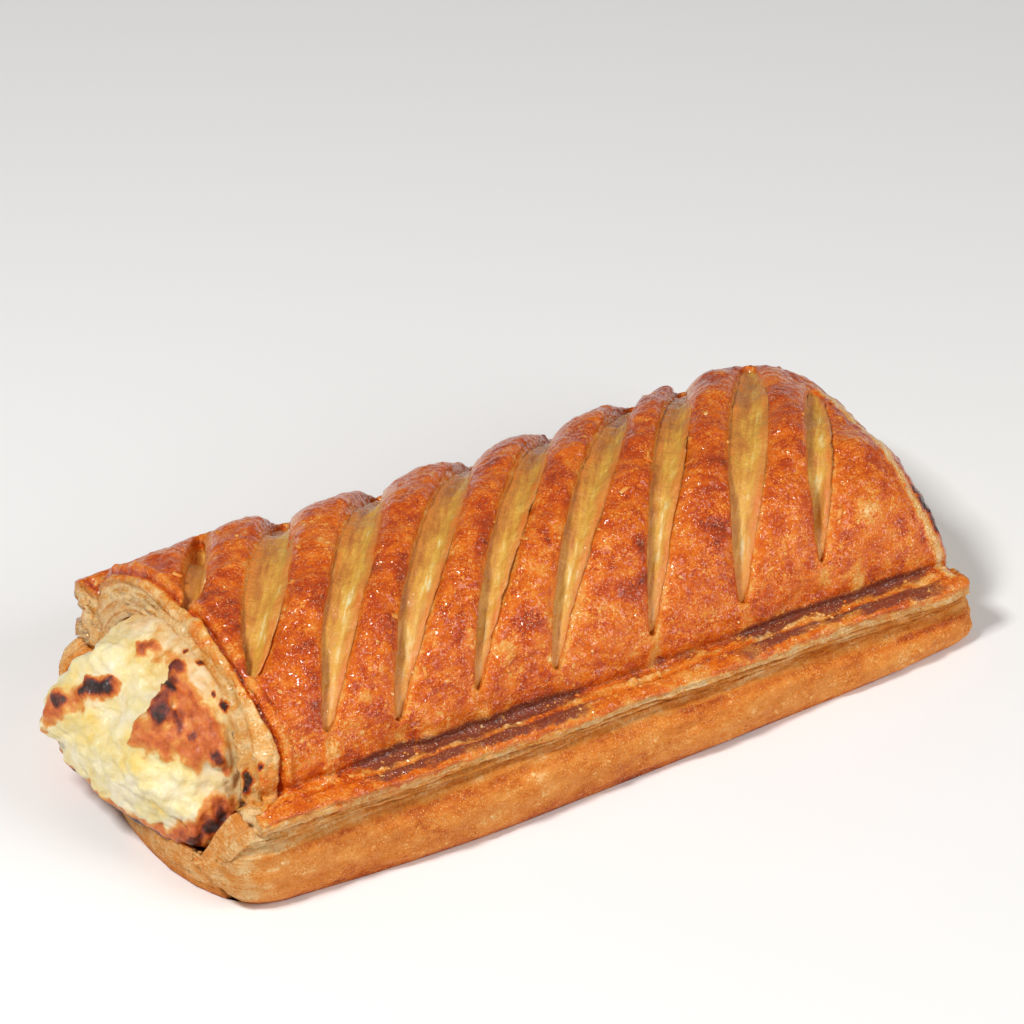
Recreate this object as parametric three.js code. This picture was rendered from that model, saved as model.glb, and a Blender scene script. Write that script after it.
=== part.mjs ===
// A baked cheese puff pastry: a long two-sheet parcel, 156 mm by 74 mm and 39 mm high.
// The bottom sheet is a shallow tray of laminated dough, the top sheet a risen lid cut with
// slanted slits, and the curd cheese between them shows in the slits and bursts out at both
// ends, far at the left and little at the right.
// Millimetres, +Z up, +X along the length, origin under the middle of the whole parcel.
import * as THREE from "three";

// ---- Driving dimensions ----------------------------------------------------------------

const LEFT = -61.4; // corners of the cut ends of the dough
const RIGHT = 76.1;
const HALF_WIDTH = 33; // to the side seams
const DOME_HALF = 27.5; // half the width of the risen lid, inside its flat border
const DOUGH_GAP = 0.4; // clearance between the pieces

// Heights along the length, evenly spaced from the left end to the right end.
const CROWN = [35.2, 37.8, 38.6, 38.4, 38.2, 37.4, 36.2, 35]; // top of the risen lid
const FRONT_FOOT = [19.5, 18.5, 17, 16, 15.2, 14.5, 13.6, 12.8]; // where the lid starts to rise
const BACK_FOOT = [24.8, 24.4, 20.8, 18.5, 18, 17.5, 16, 13.5];
const FRONT_SEAM = [16.5, 15.2, 14, 13.2, 12.6, 11.6, 10.4, 9.8]; // under the lid's border
const BACK_SEAM = [12.5, 12.8, 13, 13.2, 12.6, 12, 11, 10];
const SIDE_HEIGHT = [11.8, 11.2, 10.8, 10.4, 9.8, 8.8, 6.6, 5.8]; // brown side of the tray
const BELLY = [-0.4, 1.6, 3, 3.2, 3.2, 3.1, 2.9, 1.8]; // how far that side stands out
const BOXINESS = [3.2, 3.2, 2.7, 2.4, 2.4, 2.5, 2.8, 3.2]; // how square the lid's section is

// Lid
const LID_THICK = 3; // of the risen dough
const END_THICK = 2.6; // how much thicker the opened layers are at the lid's left end
const END_LAYERS = 9; // length of that thicker stretch
const FOOT_INSET = 4; // the inside of the lid rises this much further in than the outside
const LIP_BULGE = 1; // of the border's outer edge
const LEAF_SPLIT = 4.6; // depth of the split between the two leaves of the back left corner
const LEAF_SPLIT_END = -40; // where that split has closed
const STRIP_PUFF = 1.3; // how far a strip of dough swells above its own edges
const END_PULL = 5.5; // how far the lid's left end draws back over the burst cheese
const BACK_PULL = 1.8; // how far its back corner stands in from the front one
const RIGHT_PULL = 0.8;
const RIGHT_DROP = 9.4; // how far the lid comes down over its last stretch
const DROP_LENGTH = 21;

// Slits: where each crosses the middle line, how far it slants (x for each y), the y of its
// front and back tips, and its half width where it gapes most.
const SLITS = [
  { x: -55.9, slant: 0.62, front: 3, back: 25, gape: 2.2 },
  { x: -41.9, slant: 0.69, front: -16.5, back: 26, gape: 4 },
  { x: -25.2, slant: 0.76, front: -25.5, back: 26, gape: 3.8 },
  { x: -8.9, slant: 0.88, front: -26.3, back: 26, gape: 3.6 },
  { x: 6.5, slant: 0.9, front: -26, back: 26, gape: 3.2 },
  { x: 22.1, slant: 0.92, front: -26.4, back: 25, gape: 3.5 },
  { x: 36.5, slant: 0.75, front: -26.4, back: 25, gape: 3 },
  { x: 52.1, slant: 0.67, front: -26.4, back: 18, gape: 3.6 },
  { x: 66.1, slant: 0.6, front: -25.6, back: 6, gape: 2.4 },
];
const SLIT_STEEP = 0.85; // how open the foot of a slit's left wall is against its mouth
const SLIT_SLOPE = 0.45; // and the foot of its right wall, which slopes more
const CURD_RISE = 1.5; // how far the cheese swells up into a slit

// Tray
const FLOOR_THICK = 3.2;
const RIM_WIDTH = 8; // dough on either side of the filling
const BOW_LEFT = 11.6; // how far the tray's ends bow out in the middle
const BOW_RIGHT = 0.4;
const BOW_MIDDLE = -8; // the y where the left bow is widest
const BACK_FLARE = 2.6; // how far its back left corner stands out from the front one
const RIGHT_LEDGE = 1.3; // how far the tray reaches past the lid on the right
const UNDERCUT = 2.6; // how far its ends draw in towards the ground
const CORNER_HEIGHT = 8; // of the rim where it ends at the left

// Cheese
// Its two bursts: reach out of the lid's mouth, y and height of the furthest point, and
// half the width of the swelling in front of that point and behind it.
const BURSTS = [
  { side: -1, reach: 19.6, middle: 6, level: 14.5, front: 34, back: 17.8 },
  { side: 1, reach: 2.4, middle: 0, level: 13, front: 28, back: 28 },
];
// Lumps on the left burst: y, turn from the mouth (0) to the furthest edge (1) on the upper
// (side 1) or lower (side -1) half, size across and along the turn, and height.
const LUMPS = [
  { y: -9, turn: 0.42, side: 1, across: 5, along: 0.2, height: 2 },
  { y: 11.5, turn: 0.86, side: 1, across: 3.4, along: 0.22, height: 3.6 },
  { y: 2, turn: 0.3, side: 1, across: 5, along: 0.15, height: 1.2 },
  { y: -17, turn: 0.8, side: 1, across: 3.5, along: 0.2, height: 2 },
  { y: 14, turn: 0.4, side: 1, across: 4, along: 0.15, height: -1.4 },
  { y: -1, turn: 0.7, side: 1, across: 3, along: 0.12, height: -1.6 },
  { y: -12, turn: 0.75, side: 1, across: 3, along: 0.12, height: 1.4 },
];

// Mesh density
const STRIP_COLUMNS = 4;
const LIP_ROWS = 6;
const BORDER_ROWS = 2;
const DOME_ROWS = 22;
const TRAY_COLUMNS = 24;
const FLOOR_ROWS = 10;
const CHEESE_ROWS = 20;
const BURST_RINGS = 9;

// ---- Small maths -----------------------------------------------------------------------

const clamp = (v, low, high) => Math.min(high, Math.max(low, v));
const mix = (a, b, t) => a + (b - a) * t;
const smooth = (low, high, v) => {
  const t = clamp((v - low) / (high - low), 0, 1);
  return t * t * (3 - 2 * t);
};

// A smooth curve through values spaced evenly from the left end to the right end.
function alongLength(values, x) {
  const last = values.length - 1;
  const s = clamp((x - LEFT) / (RIGHT - LEFT), 0, 1) * last;
  const i = Math.min(Math.floor(s), last - 1);
  const t = s - i;
  const before = values[Math.max(i - 1, 0)];
  const after = values[Math.min(i + 2, last)];
  const slope0 = (values[i + 1] - before) / 2;
  const slope1 = (after - values[i]) / 2;
  const rise = values[i + 1] - values[i];
  const square = 3 * rise - 2 * slope0 - slope1;
  const cube = slope0 + slope1 - 2 * rise;
  return values[i] + t * (slope0 + t * (square + t * cube));
}

// Soft unevenness of baked dough, between -1 and 1.
const uneven = (x, y, size) =>
  (Math.sin((x + 1.7 * y) / size + 2 * Math.sin((0.6 * y) / size)) +
    Math.sin((1.3 * y - 0.8 * x) / size + 1.5 * Math.sin((0.7 * x) / size + 1))) /
  2;

// ---- Forms shared by the three pieces --------------------------------------------------

const seamHeight = (x, y) =>
  mix(alongLength(FRONT_SEAM, x), alongLength(BACK_SEAM, x), clamp(y / HALF_WIDTH / 2 + 0.5, 0, 1));

// The lid's ends: drawn back in the middle, more sharply at the front than at the back.
const leftEnd = (y) =>
  LEFT +
  END_PULL * (1 - Math.abs(clamp(y / HALF_WIDTH, -1, 1)) ** (y < 0 ? 5 : 2)) +
  BACK_PULL * smooth(0, HALF_WIDTH, y);
const rightEnd = (y) => RIGHT - RIGHT_PULL * (1 - Math.abs(clamp(y / HALF_WIDTH, -1, 1)) ** 4);

// Share of its full rise that the lid's section has at a distance from the middle line.
const arch = (x, r) => (1 - clamp(r, 0, 1) ** alongLength(BOXINESS, x)) ** (1 / 1.6);

const crownHeight = (x) =>
  alongLength(CROWN, x) - RIGHT_DROP * clamp((x - RIGHT + DROP_LENGTH) / DROP_LENGTH, 0, 1) ** 2.2;

function domeHeight(x, y) {
  const foot = alongLength(y < 0 ? FRONT_FOOT : BACK_FOOT, x);
  return mix(foot, crownHeight(x), arch(x, Math.abs(y) / DOME_HALF));
}

function innerHeight(x, y) {
  const rise = arch(x, Math.abs(y) / (DOME_HALF - FOOT_INSET));
  const thick = LID_THICK + END_THICK * (1 - smooth(0, END_LAYERS, x - leftEnd(y)));
  return mix(seamHeight(x, y), crownHeight(x) - thick, rise);
}

const slitCentre = (slit, y) => slit.x + slit.slant * y;

// Half the width of a slit at y: a lens that closes at both tips.
function slitOpening(slit, y) {
  const middle = (slit.front + slit.back) / 2;
  const v = (y - middle) / ((slit.back - slit.front) / 2);
  return Math.abs(v) >= 1 ? 0 : slit.gape * (1 - v * v) ** 0.75;
}

// The line of a slit carried on past its tips: it keeps its share of the parcel's length
// there, and spreads a little towards an even spacing.
function slitLine(slit, y) {
  const tip = clamp(y, slit.front, slit.back);
  if (tip === y) return slitCentre(slit, y);
  const share = (slitCentre(slit, tip) - leftEnd(tip)) / (rightEnd(tip) - leftEnd(tip));
  const even = (SLITS.indexOf(slit) + 1) / (SLITS.length + 1);
  const spread = (v) => 0.3 * smooth(16, HALF_WIDTH, Math.abs(v));
  return mix(leftEnd(y), rightEnd(y), mix(share, even, spread(y) - spread(tip)));
}

// ---- Grids of the lid: columns run across the parcel along the slits -------------------

// Each column is {band, share}: a band is a strip of dough between two slits.
function lidColumns(perStrip) {
  const columns = [];
  for (let band = 0; band <= SLITS.length; band++) {
    for (let k = 0; k <= perStrip; k++) {
      columns.push({ band, share: (1 - Math.cos((Math.PI * k) / perStrip)) / 2 });
    }
  }
  return columns;
}

// x of a column at y, where the walls of the slits stand at these shares of their half width.
function columnX({ band, share }, y, leftWall, rightWall) {
  const before = SLITS[band - 1];
  const after = SLITS[band];
  const from = before ? slitLine(before, y) + rightWall * slitOpening(before, y) : leftEnd(y);
  const to = after ? slitLine(after, y) - leftWall * slitOpening(after, y) : rightEnd(y);
  return mix(from, to, share);
}

// How far a strip swells at a column: full in its middle, nothing at an open edge.
function puff({ band, share }, y) {
  const before = SLITS[band - 1];
  const after = SLITS[band];
  const sagBefore = before ? clamp(slitOpening(before, y) / 1.5, 0, 1) * (1 - share) ** 6 : 0;
  const sagAfter = after ? clamp(slitOpening(after, y) / 1.5, 0, 1) * share ** 6 : 0;
  return 1 - sagBefore - sagAfter;
}

// Rows run from the front border's lower edge over the lid to the back border's.
function lidRows() {
  const front = [];
  for (let k = 0; k < LIP_ROWS; k++) {
    front.push({ part: "lip", side: -1, f: k / (LIP_ROWS - 1) });
  }
  for (let k = 1; k <= BORDER_ROWS; k++) {
    front.push({ part: "border", side: -1, f: k / (BORDER_ROWS + 1) });
  }
  const back = front.map((row) => ({ ...row, side: 1 })).reverse();
  const dome = [];
  for (let k = 0; k <= DOME_ROWS; k++) {
    dome.push({ part: "dome", y: DOME_HALF * Math.sin(Math.PI * (k / DOME_ROWS - 0.5)) });
  }
  return [...front, ...dome, ...back];
}

const BORDER_TOP = HALF_WIDTH - 1.6; // y of the border's upper edge

function rowY(row) {
  if (row.part === "dome") return row.y;
  if (row.part === "border") return row.side * mix(BORDER_TOP, DOME_HALF, row.f);
  return row.side * HALF_WIDTH;
}

// Upper surface of the lid.
function lidOutside(column, row) {
  const y = rowY(row);
  const x = columnX(column, y, 1, 1);
  const foot = alongLength(y < 0 ? FRONT_FOOT : BACK_FOOT, x);
  if (row.part === "dome") {
    const inner = 1 - Math.abs(y / DOME_HALF) ** 4;
    const swell = STRIP_PUFF * (puff(column, y) - 1) + 0.35 * uneven(x, y, 5) * inner;
    return new THREE.Vector3(x, y, domeHeight(x, y) + swell);
  }
  if (row.part === "border") {
    const crease = 0.9 * Math.sin(Math.PI * row.f) * smooth(0, 1, row.f);
    return new THREE.Vector3(x, y, foot - crease + 0.25 * uneven(x, y, 4));
  }
  // The border's edge: one rounded lip, split into two leaves near the back left corner.
  const seam = seamHeight(x, y) + 0.2;
  const angle = Math.PI * (row.f - 0.5);
  const split = row.side > 0 ? LEAF_SPLIT * (1 - smooth(LEFT, LEAF_SPLIT_END, x)) : 0.5;
  const notch = split * Math.exp(-(((row.f - 0.5) / 0.13) ** 2));
  const turnedIn = row.f > 0.9 ? HALF_WIDTH - BORDER_TOP - 0.4 : 0;
  const wave = 0.5 * uneven(x, row.side * 9, 6);
  const out = HALF_WIDTH + LIP_BULGE * Math.cos(angle) - notch - turnedIn + wave;
  return new THREE.Vector3(x, row.side * out, mix(seam, foot, (1 + Math.sin(angle)) / 2));
}

// Under surface of the lid, row for row.
function lidInside(column, row) {
  if (row.part === "dome") {
    const y = (row.y * (DOME_HALF - FOOT_INSET)) / DOME_HALF;
    const x = columnX(column, row.y, SLIT_STEEP, SLIT_SLOPE);
    return new THREE.Vector3(x, y, innerHeight(x, y));
  }
  const x = columnX(column, rowY(row), 1, 1);
  const reach = row.part === "lip" ? 0.9 * row.f ** 0.7 : mix(0.9, 0.99, row.f);
  const y = row.side * mix(HALF_WIDTH - 0.6, DOME_HALF - FOOT_INSET, reach);
  return new THREE.Vector3(x, y, seamHeight(x, y));
}

// ---- A closed solid between two surfaces on one grid ----------------------------------

// outside and inside give a point for each column and row; open says which cells are holes.
// Points that fall together are shared, so cells that have shrunk to nothing drop out.
function solidBetween(columns, rows, outside, inside, open = () => false) {
  const positions = [];
  const indexOf = new Map();
  const place = (point) => {
    const key = point.toArray().map((v) => Math.round(v * 1e3)).join();
    if (!indexOf.has(key)) {
      indexOf.set(key, positions.length / 3);
      positions.push(point.x, point.y, point.z);
    }
    return indexOf.get(key);
  };
  const outer = columns.map((column) => rows.map((row) => place(outside(column, row))));
  const inner = columns.map((column) => rows.map((row) => place(inside(column, row))));
  const faces = [];
  const triangle = (a, b, c) => {
    if (a !== b && b !== c && c !== a) faces.push(a, b, c);
  };
  const quad = (a, b, c, d) => {
    triangle(a, b, c);
    triangle(a, c, d);
  };
  const inGrid = (i, j) => i >= 0 && j >= 0 && i < columns.length - 1 && j < rows.length - 1;
  const solidCell = (i, j) =>
    inGrid(i, j) && !open(columns[i], columns[i + 1], rows[j], rows[j + 1]);
  for (let i = 0; i < columns.length - 1; i++) {
    for (let j = 0; j < rows.length - 1; j++) {
      if (!solidCell(i, j)) continue;
      quad(outer[i][j], outer[i + 1][j], outer[i + 1][j + 1], outer[i][j + 1]);
      quad(inner[i][j], inner[i][j + 1], inner[i + 1][j + 1], inner[i + 1][j]);
      const walls = [
        [solidCell(i, j - 1), i, j, i + 1, j],
        [solidCell(i + 1, j), i + 1, j, i + 1, j + 1],
        [solidCell(i, j + 1), i + 1, j + 1, i, j + 1],
        [solidCell(i - 1, j), i, j + 1, i, j],
      ];
      for (const [joined, a, b, c, d] of walls) {
        if (!joined) quad(outer[c][d], outer[a][b], inner[a][b], inner[c][d]);
      }
    }
  }
  const geometry = new THREE.BufferGeometry();
  geometry.setAttribute("position", new THREE.Float32BufferAttribute(positions, 3));
  geometry.setIndex(faces);
  geometry.computeVertexNormals();
  return geometry;
}

// ---- Lid -------------------------------------------------------------------------------

// The cell between two bands is a slit, and open wherever that slit gapes.
function isSlit(columnA, columnB, rowA, rowB) {
  if (columnA.band === columnB.band) return false;
  const slit = SLITS[columnA.band];
  const gapes = (row) => row.part === "dome" && slitOpening(slit, row.y) > 0;
  return gapes(rowA) || gapes(rowB);
}

const lidGeometry = () =>
  solidBetween(lidColumns(STRIP_COLUMNS), lidRows(), lidOutside, lidInside, isSlit);

// ---- Tray ------------------------------------------------------------------------------

function trayLeft(y) {
  const bent = y - BOW_MIDDLE * (1 - (y / HALF_WIDTH) ** 2);
  const bow = Math.max(0, 1 - (bent / HALF_WIDTH) ** 2) ** 0.75;
  return LEFT + 1 - BOW_LEFT * bow - BACK_FLARE * smooth(8, HALF_WIDTH, y);
}
const trayRight = (y) => RIGHT + RIGHT_LEDGE + BOW_RIGHT * (1 - (y / HALF_WIDTH) ** 2);

// Top of the rim, which sinks where it stands out past the lid.
const rimHeight = (x, y) =>
  mix(seamHeight(x, y) - DOUGH_GAP, CORNER_HEIGHT, smooth(LEFT - 2, LEFT - 9, x));

// The tray's side from its upper edge to the ground: share of the side's reach, and how far
// the level stands out besides that.
const SIDE_LEVELS = ["top", "band", "groove", "edge", "shoulder", "belly", "heel", "foot"];

function sideLevel(level, x, seam) {
  const side = Math.min(alongLength(SIDE_HEIGHT, x), seam - 2.4);
  const belly = alongLength(BELLY, x);
  return {
    top: [-0.9, seam],
    band: [-0.3, mix(side, seam, 0.75)],
    groove: [-1.3, mix(side, seam, 0.4)],
    edge: [0.3 * belly, side],
    shoulder: [0.75 * belly + 0.3, 0.85 * side],
    belly: [belly + 0.3, 0.55 * side],
    heel: [belly, 0.2 * side],
    foot: [belly - 1.1, 0],
  }[level];
}

function trayRows() {
  const front = SIDE_LEVELS.map((level) => ({ level, side: -1 }));
  const back = front.map((row) => ({ ...row, side: 1 })).reverse();
  const floor = [];
  for (let k = 1; k < FLOOR_ROWS; k++) {
    floor.push({ level: "floor", across: Math.sin(Math.PI * (k / FLOOR_ROWS - 0.5)) });
  }
  return [...front, ...floor, ...back];
}

function trayOutside(column, row) {
  if (row.level === "floor") {
    const y = row.across * (HALF_WIDTH - 1);
    const x = mix(trayLeft(y) + UNDERCUT, trayRight(y) - UNDERCUT, column.share);
    return new THREE.Vector3(x, y, 0);
  }
  const x = mix(LEFT, RIGHT, column.share);
  const edge = row.side * HALF_WIDTH;
  const [out, z] = sideLevel(row.level, x, seamHeight(x, edge) - DOUGH_GAP);
  const wave = row.level === "foot" ? 0 : 0.45 * uneven(x, row.side * 5, 7);
  const under = UNDERCUT * ({ heel: 0.4, foot: 1 }[row.level] ?? 0);
  const along = mix(trayLeft(edge) + under, trayRight(edge) - under, column.share);
  return new THREE.Vector3(along, row.side * (HALF_WIDTH + out + wave), z);
}

function trayInside(column, row) {
  const wall = HALF_WIDTH - RIM_WIDTH;
  if (row.level === "floor") {
    const y = row.across * (wall - 2);
    const x = mix(trayLeft(y), trayRight(y), column.share);
    return new THREE.Vector3(x, y, FLOOR_THICK);
  }
  const depth = SIDE_LEVELS.indexOf(row.level) / (SIDE_LEVELS.length - 1);
  const y = row.side * mix(HALF_WIDTH - 3, wall - 1.4, depth);
  const x = mix(trayLeft(y), trayRight(y), column.share);
  return new THREE.Vector3(x, y, mix(rimHeight(x, y), FLOOR_THICK, smooth(0.72, 1, depth)));
}

function trayGeometry() {
  const columns = Array.from({ length: TRAY_COLUMNS + 1 }, (_, k) => ({
    share: mix(k / TRAY_COLUMNS, (1 - Math.cos((Math.PI * k) / TRAY_COLUMNS)) / 2, 0.45),
  }));
  // The tray's outside looks down, so its rows run the other way round.
  return solidBetween(columns, trayRows().reverse(), trayOutside, trayInside);
}

// ---- Cheese ----------------------------------------------------------------------------

const CHEESE_HALF = DOME_HALF - FOOT_INSET - 0.6; // half the width of the filling

function cheeseRows() {
  return Array.from({ length: CHEESE_ROWS + 1 }, (_, k) => ({
    y: CHEESE_HALF * Math.sin(Math.PI * (k / CHEESE_ROWS - 0.5)),
  }));
}

// Columns: rings of the left burst, then a few across each strip and slit, then the right burst.
function cheeseColumns() {
  const columns = [];
  for (let k = BURST_RINGS; k > 0; k--) columns.push({ burst: BURSTS[0], turn: k / BURST_RINGS });
  for (let band = 0; band <= SLITS.length; band++) {
    for (const share of [0, 0.5, 1]) columns.push({ band, share });
    if (band < SLITS.length) columns.push({ slit: SLITS[band] });
  }
  for (let k = 1; k <= 4; k++) columns.push({ burst: BURSTS[1], turn: k / 4 });
  return columns;
}

const fillingTop = (x, y) => innerHeight(x, y) - DOUGH_GAP - 0.1;
const FILLING_BOTTOM = FLOOR_THICK + DOUGH_GAP;

// Section of the filling at x and y: its top and bottom meet at its front and back edges.
function fillingPoint(x, y, side) {
  const edge = (1 - (y / CHEESE_HALF) ** 6) ** 0.5;
  const waist = mix(FILLING_BOTTOM, seamHeight(x, y), 0.45);
  const full = side > 0 ? fillingTop(x, y) : FILLING_BOTTOM;
  return mix(waist, full, edge);
}

function cheesePoint(column, row, side) {
  const y = row.y;
  if (column.slit) {
    const lid = (y * DOME_HALF) / (DOME_HALF - FOOT_INSET);
    const opening = slitOpening(column.slit, lid);
    const middle = (opening * (SLIT_SLOPE - SLIT_STEEP)) / 2;
    const x = slitLine(column.slit, clamp(lid, -DOME_HALF, DOME_HALF)) + middle;
    const rise = side > 0 ? CURD_RISE * clamp(opening / 2.5, 0, 1) : 0;
    return new THREE.Vector3(x, y, fillingPoint(x, y, side) + rise);
  }
  if (column.burst === undefined) {
    const lid = clamp((y * DOME_HALF) / (DOME_HALF - FOOT_INSET), -DOME_HALF, DOME_HALF);
    const x = columnX(column, lid, SLIT_STEEP - 0.12, SLIT_SLOPE - 0.12);
    return new THREE.Vector3(x, y, fillingPoint(x, y, side));
  }
  return burstPoint(column, y, side);
}

// A burst end: rings that swell out of the mouth and close on its furthest curve.
function burstPoint({ burst, turn }, y, side) {
  const mouth = burst.side < 0 ? leftEnd(y) : rightEnd(y);
  const v = (y - burst.middle) / (y < burst.middle ? burst.front : burst.back);
  const bow = burst.reach * Math.sqrt(Math.max(0, 1 - v * v));
  const angle = (Math.PI / 2) * turn;
  let out = bow * Math.sin(angle);
  const waist = mix(fillingPoint(mouth, y, -1), fillingPoint(mouth, y, 1), 0.42);
  const edge = mix(waist, burst.level, 0.7 * turn);
  const blunt = side > 0 ? 0.9 : 0.45;
  let rise = mix(edge, fillingPoint(mouth, y, side), Math.cos(angle) ** blunt) - edge;
  if (burst.side < 0) {
    let swell = 0.7 * uneven(out * 1.3, y + side * 7, 3.4) * Math.sin(2 * angle);
    for (const lump of LUMPS) {
      const far = ((y - lump.y) / lump.across) ** 2 + ((turn - lump.turn) / lump.along) ** 2;
      if (side === lump.side || turn === 1) swell += lump.height * Math.exp(-far);
    }
    out += swell * Math.sin(angle) ** 2;
    rise += side * swell * Math.cos(angle) * smooth(0, 0.25, turn);
  }
  const z = Math.max(edge + rise, side < 0 ? FILLING_BOTTOM : 0);
  return new THREE.Vector3(mouth + burst.side * out, y * (1 - 0.1 * turn ** 2), z);
}

function cheeseGeometry() {
  return solidBetween(
    cheeseColumns(),
    cheeseRows(),
    (column, row) => cheesePoint(column, row, 1),
    (column, row) => cheesePoint(column, row, -1),
  );
}

// ---- The parcel ------------------------------------------------------------------------

const BROWNED_LID = new THREE.MeshStandardMaterial({ color: 0xcb6a2c, roughness: 0.38, metalness: 0 });
const BAKED_DOUGH = new THREE.MeshStandardMaterial({ color: 0xcf8440, roughness: 0.62, metalness: 0 });
const CURD_CHEESE = new THREE.MeshStandardMaterial({ color: 0xecdca0, roughness: 0.5, metalness: 0 });

function piece(name, geometry, material) {
  const mesh = new THREE.Mesh(geometry, material);
  mesh.name = name;
  return mesh;
}

const pastry = new THREE.Group();
pastry.add(
  piece("bottom_sheet", trayGeometry(), BAKED_DOUGH),
  piece("cheese_filling", cheeseGeometry(), CURD_CHEESE),
  piece("top_sheet", lidGeometry(), BROWNED_LID),
);

export default pastry;
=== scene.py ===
import math
import random
from collections import namedtuple

import bmesh
import bpy
from bpy.props import FloatProperty, FloatVectorProperty, IntProperty, PointerProperty
from mathutils import Matrix, Vector, noise
from mathutils.bvhtree import BVHTree


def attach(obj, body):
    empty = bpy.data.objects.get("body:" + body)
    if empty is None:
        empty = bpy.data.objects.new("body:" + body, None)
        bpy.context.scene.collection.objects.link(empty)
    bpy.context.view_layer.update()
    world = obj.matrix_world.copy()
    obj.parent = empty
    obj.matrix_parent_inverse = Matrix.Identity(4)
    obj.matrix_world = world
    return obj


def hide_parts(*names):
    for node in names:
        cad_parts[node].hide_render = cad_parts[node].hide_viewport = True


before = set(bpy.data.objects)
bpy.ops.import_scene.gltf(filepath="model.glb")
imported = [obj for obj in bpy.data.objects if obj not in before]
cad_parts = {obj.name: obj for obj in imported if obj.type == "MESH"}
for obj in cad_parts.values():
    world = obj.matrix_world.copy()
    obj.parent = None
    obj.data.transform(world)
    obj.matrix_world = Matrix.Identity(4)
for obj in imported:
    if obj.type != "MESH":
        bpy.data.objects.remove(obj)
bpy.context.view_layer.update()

bl_info = {
    "name": "Cheese puff pastry",
    "version": (1, 0, 0),
    "blender": (4, 5, 0),
    "location": "View3D > Sidebar > Pastry",
    "description": "Dresses a baked cheese puff pastry around its packed solids",
    "category": "Object",
}

# ---- The pastry's main form, in millimetres, as the solids have it -----------------------

MM, PER_METRE = 0.001, 1000
LEFT, RIGHT = -61.4, 76.1  # corners of the cut ends of the dough
HALF_WIDTH = 33  # to the side seams
DOME_HALF = 27.5  # half the width of the risen lid, inside its flat border
BORDER_TOP = HALF_WIDTH - 1.6  # upper edge of the border
DOUGH_GAP = 0.4

# Heights along the length, evenly spaced from the left end to the right end.
CROWN = [35.2, 37.8, 38.6, 38.4, 38.2, 37.4, 36.2, 35]
FRONT_FOOT = [19.5, 18.5, 17, 16, 15.2, 14.5, 13.6, 12.8]
BACK_FOOT = [24.8, 24.4, 20.8, 18.5, 18, 17.5, 16, 13.5]
FRONT_SEAM = [16.5, 15.2, 14, 13.2, 12.6, 11.6, 10.4, 9.8]
BACK_SEAM = [12.5, 12.8, 13, 13.2, 12.6, 12, 11, 10]
SIDE_HEIGHT = [11.8, 11.2, 10.8, 10.4, 9.8, 8.8, 6.6, 5.8]
BELLY = [-0.4, 1.6, 3, 3.2, 3.2, 3.1, 2.9, 1.8]
BOXINESS = [3.2, 3.2, 2.7, 2.4, 2.4, 2.5, 2.8, 3.2]

LID_THICK, END_THICK, END_LAYERS = 3, 2.6, 9
FOOT_INSET = 4
LEAF_SPLIT, LEAF_SPLIT_END = 4.6, -40
END_PULL, BACK_PULL, RIGHT_PULL = 5.5, 1.8, 0.8
RIGHT_DROP, DROP_LENGTH = 9.4, 21
SLIT_STEEP, SLIT_SLOPE = 0.85, 0.45

Slit = namedtuple("Slit", "x slant front back gape")
SLITS = [
    Slit(-55.9, 0.62, 3, 25, 2.2),
    Slit(-41.9, 0.69, -16.5, 26, 4),
    Slit(-25.2, 0.76, -25.5, 26, 3.8),
    Slit(-8.9, 0.88, -26.3, 26, 3.6),
    Slit(6.5, 0.9, -26, 26, 3.2),
    Slit(22.1, 0.92, -26.4, 25, 3.5),
    Slit(36.5, 0.75, -26.4, 25, 3),
    Slit(52.1, 0.67, -26.4, 18, 3.6),
    Slit(66.1, 0.6, -25.6, 6, 2.4),
]

FLOOR_THICK = 3.2
RIM_WIDTH = 8
BOW_LEFT, BOW_RIGHT, BOW_MIDDLE = 11.6, 0.4, -8
BACK_FLARE, RIGHT_LEDGE, UNDERCUT, CORNER_HEIGHT = 2.6, 1.3, 2.6, 7

CHEESE_HALF = DOME_HALF - FOOT_INSET - 0.6
FILLING_BOTTOM = FLOOR_THICK + DOUGH_GAP
Burst = namedtuple("Burst", "side reach middle level front back")
BURSTS = [Burst(-1, 19.6, 6, 14.5, 34, 17.8), Burst(1, 2.4, 0, 13, 28, 28)]
Lump = namedtuple("Lump", "y turn across along height")
LUMPS = [
    Lump(-9, 0.42, 5, 0.2, 2),
    Lump(11.5, 0.86, 3.4, 0.22, 3.6),
    Lump(2, 0.3, 5, 0.15, 1.2),
    Lump(-17, 0.8, 3.5, 0.2, 2),
    Lump(14, 0.4, 4, 0.15, -1.4),
    Lump(-1, 0.7, 3, 0.12, -1.6),
    Lump(-12, 0.75, 3, 0.12, 1.4),
]

# ---- Browning ----------------------------------------------------------------------------

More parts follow.
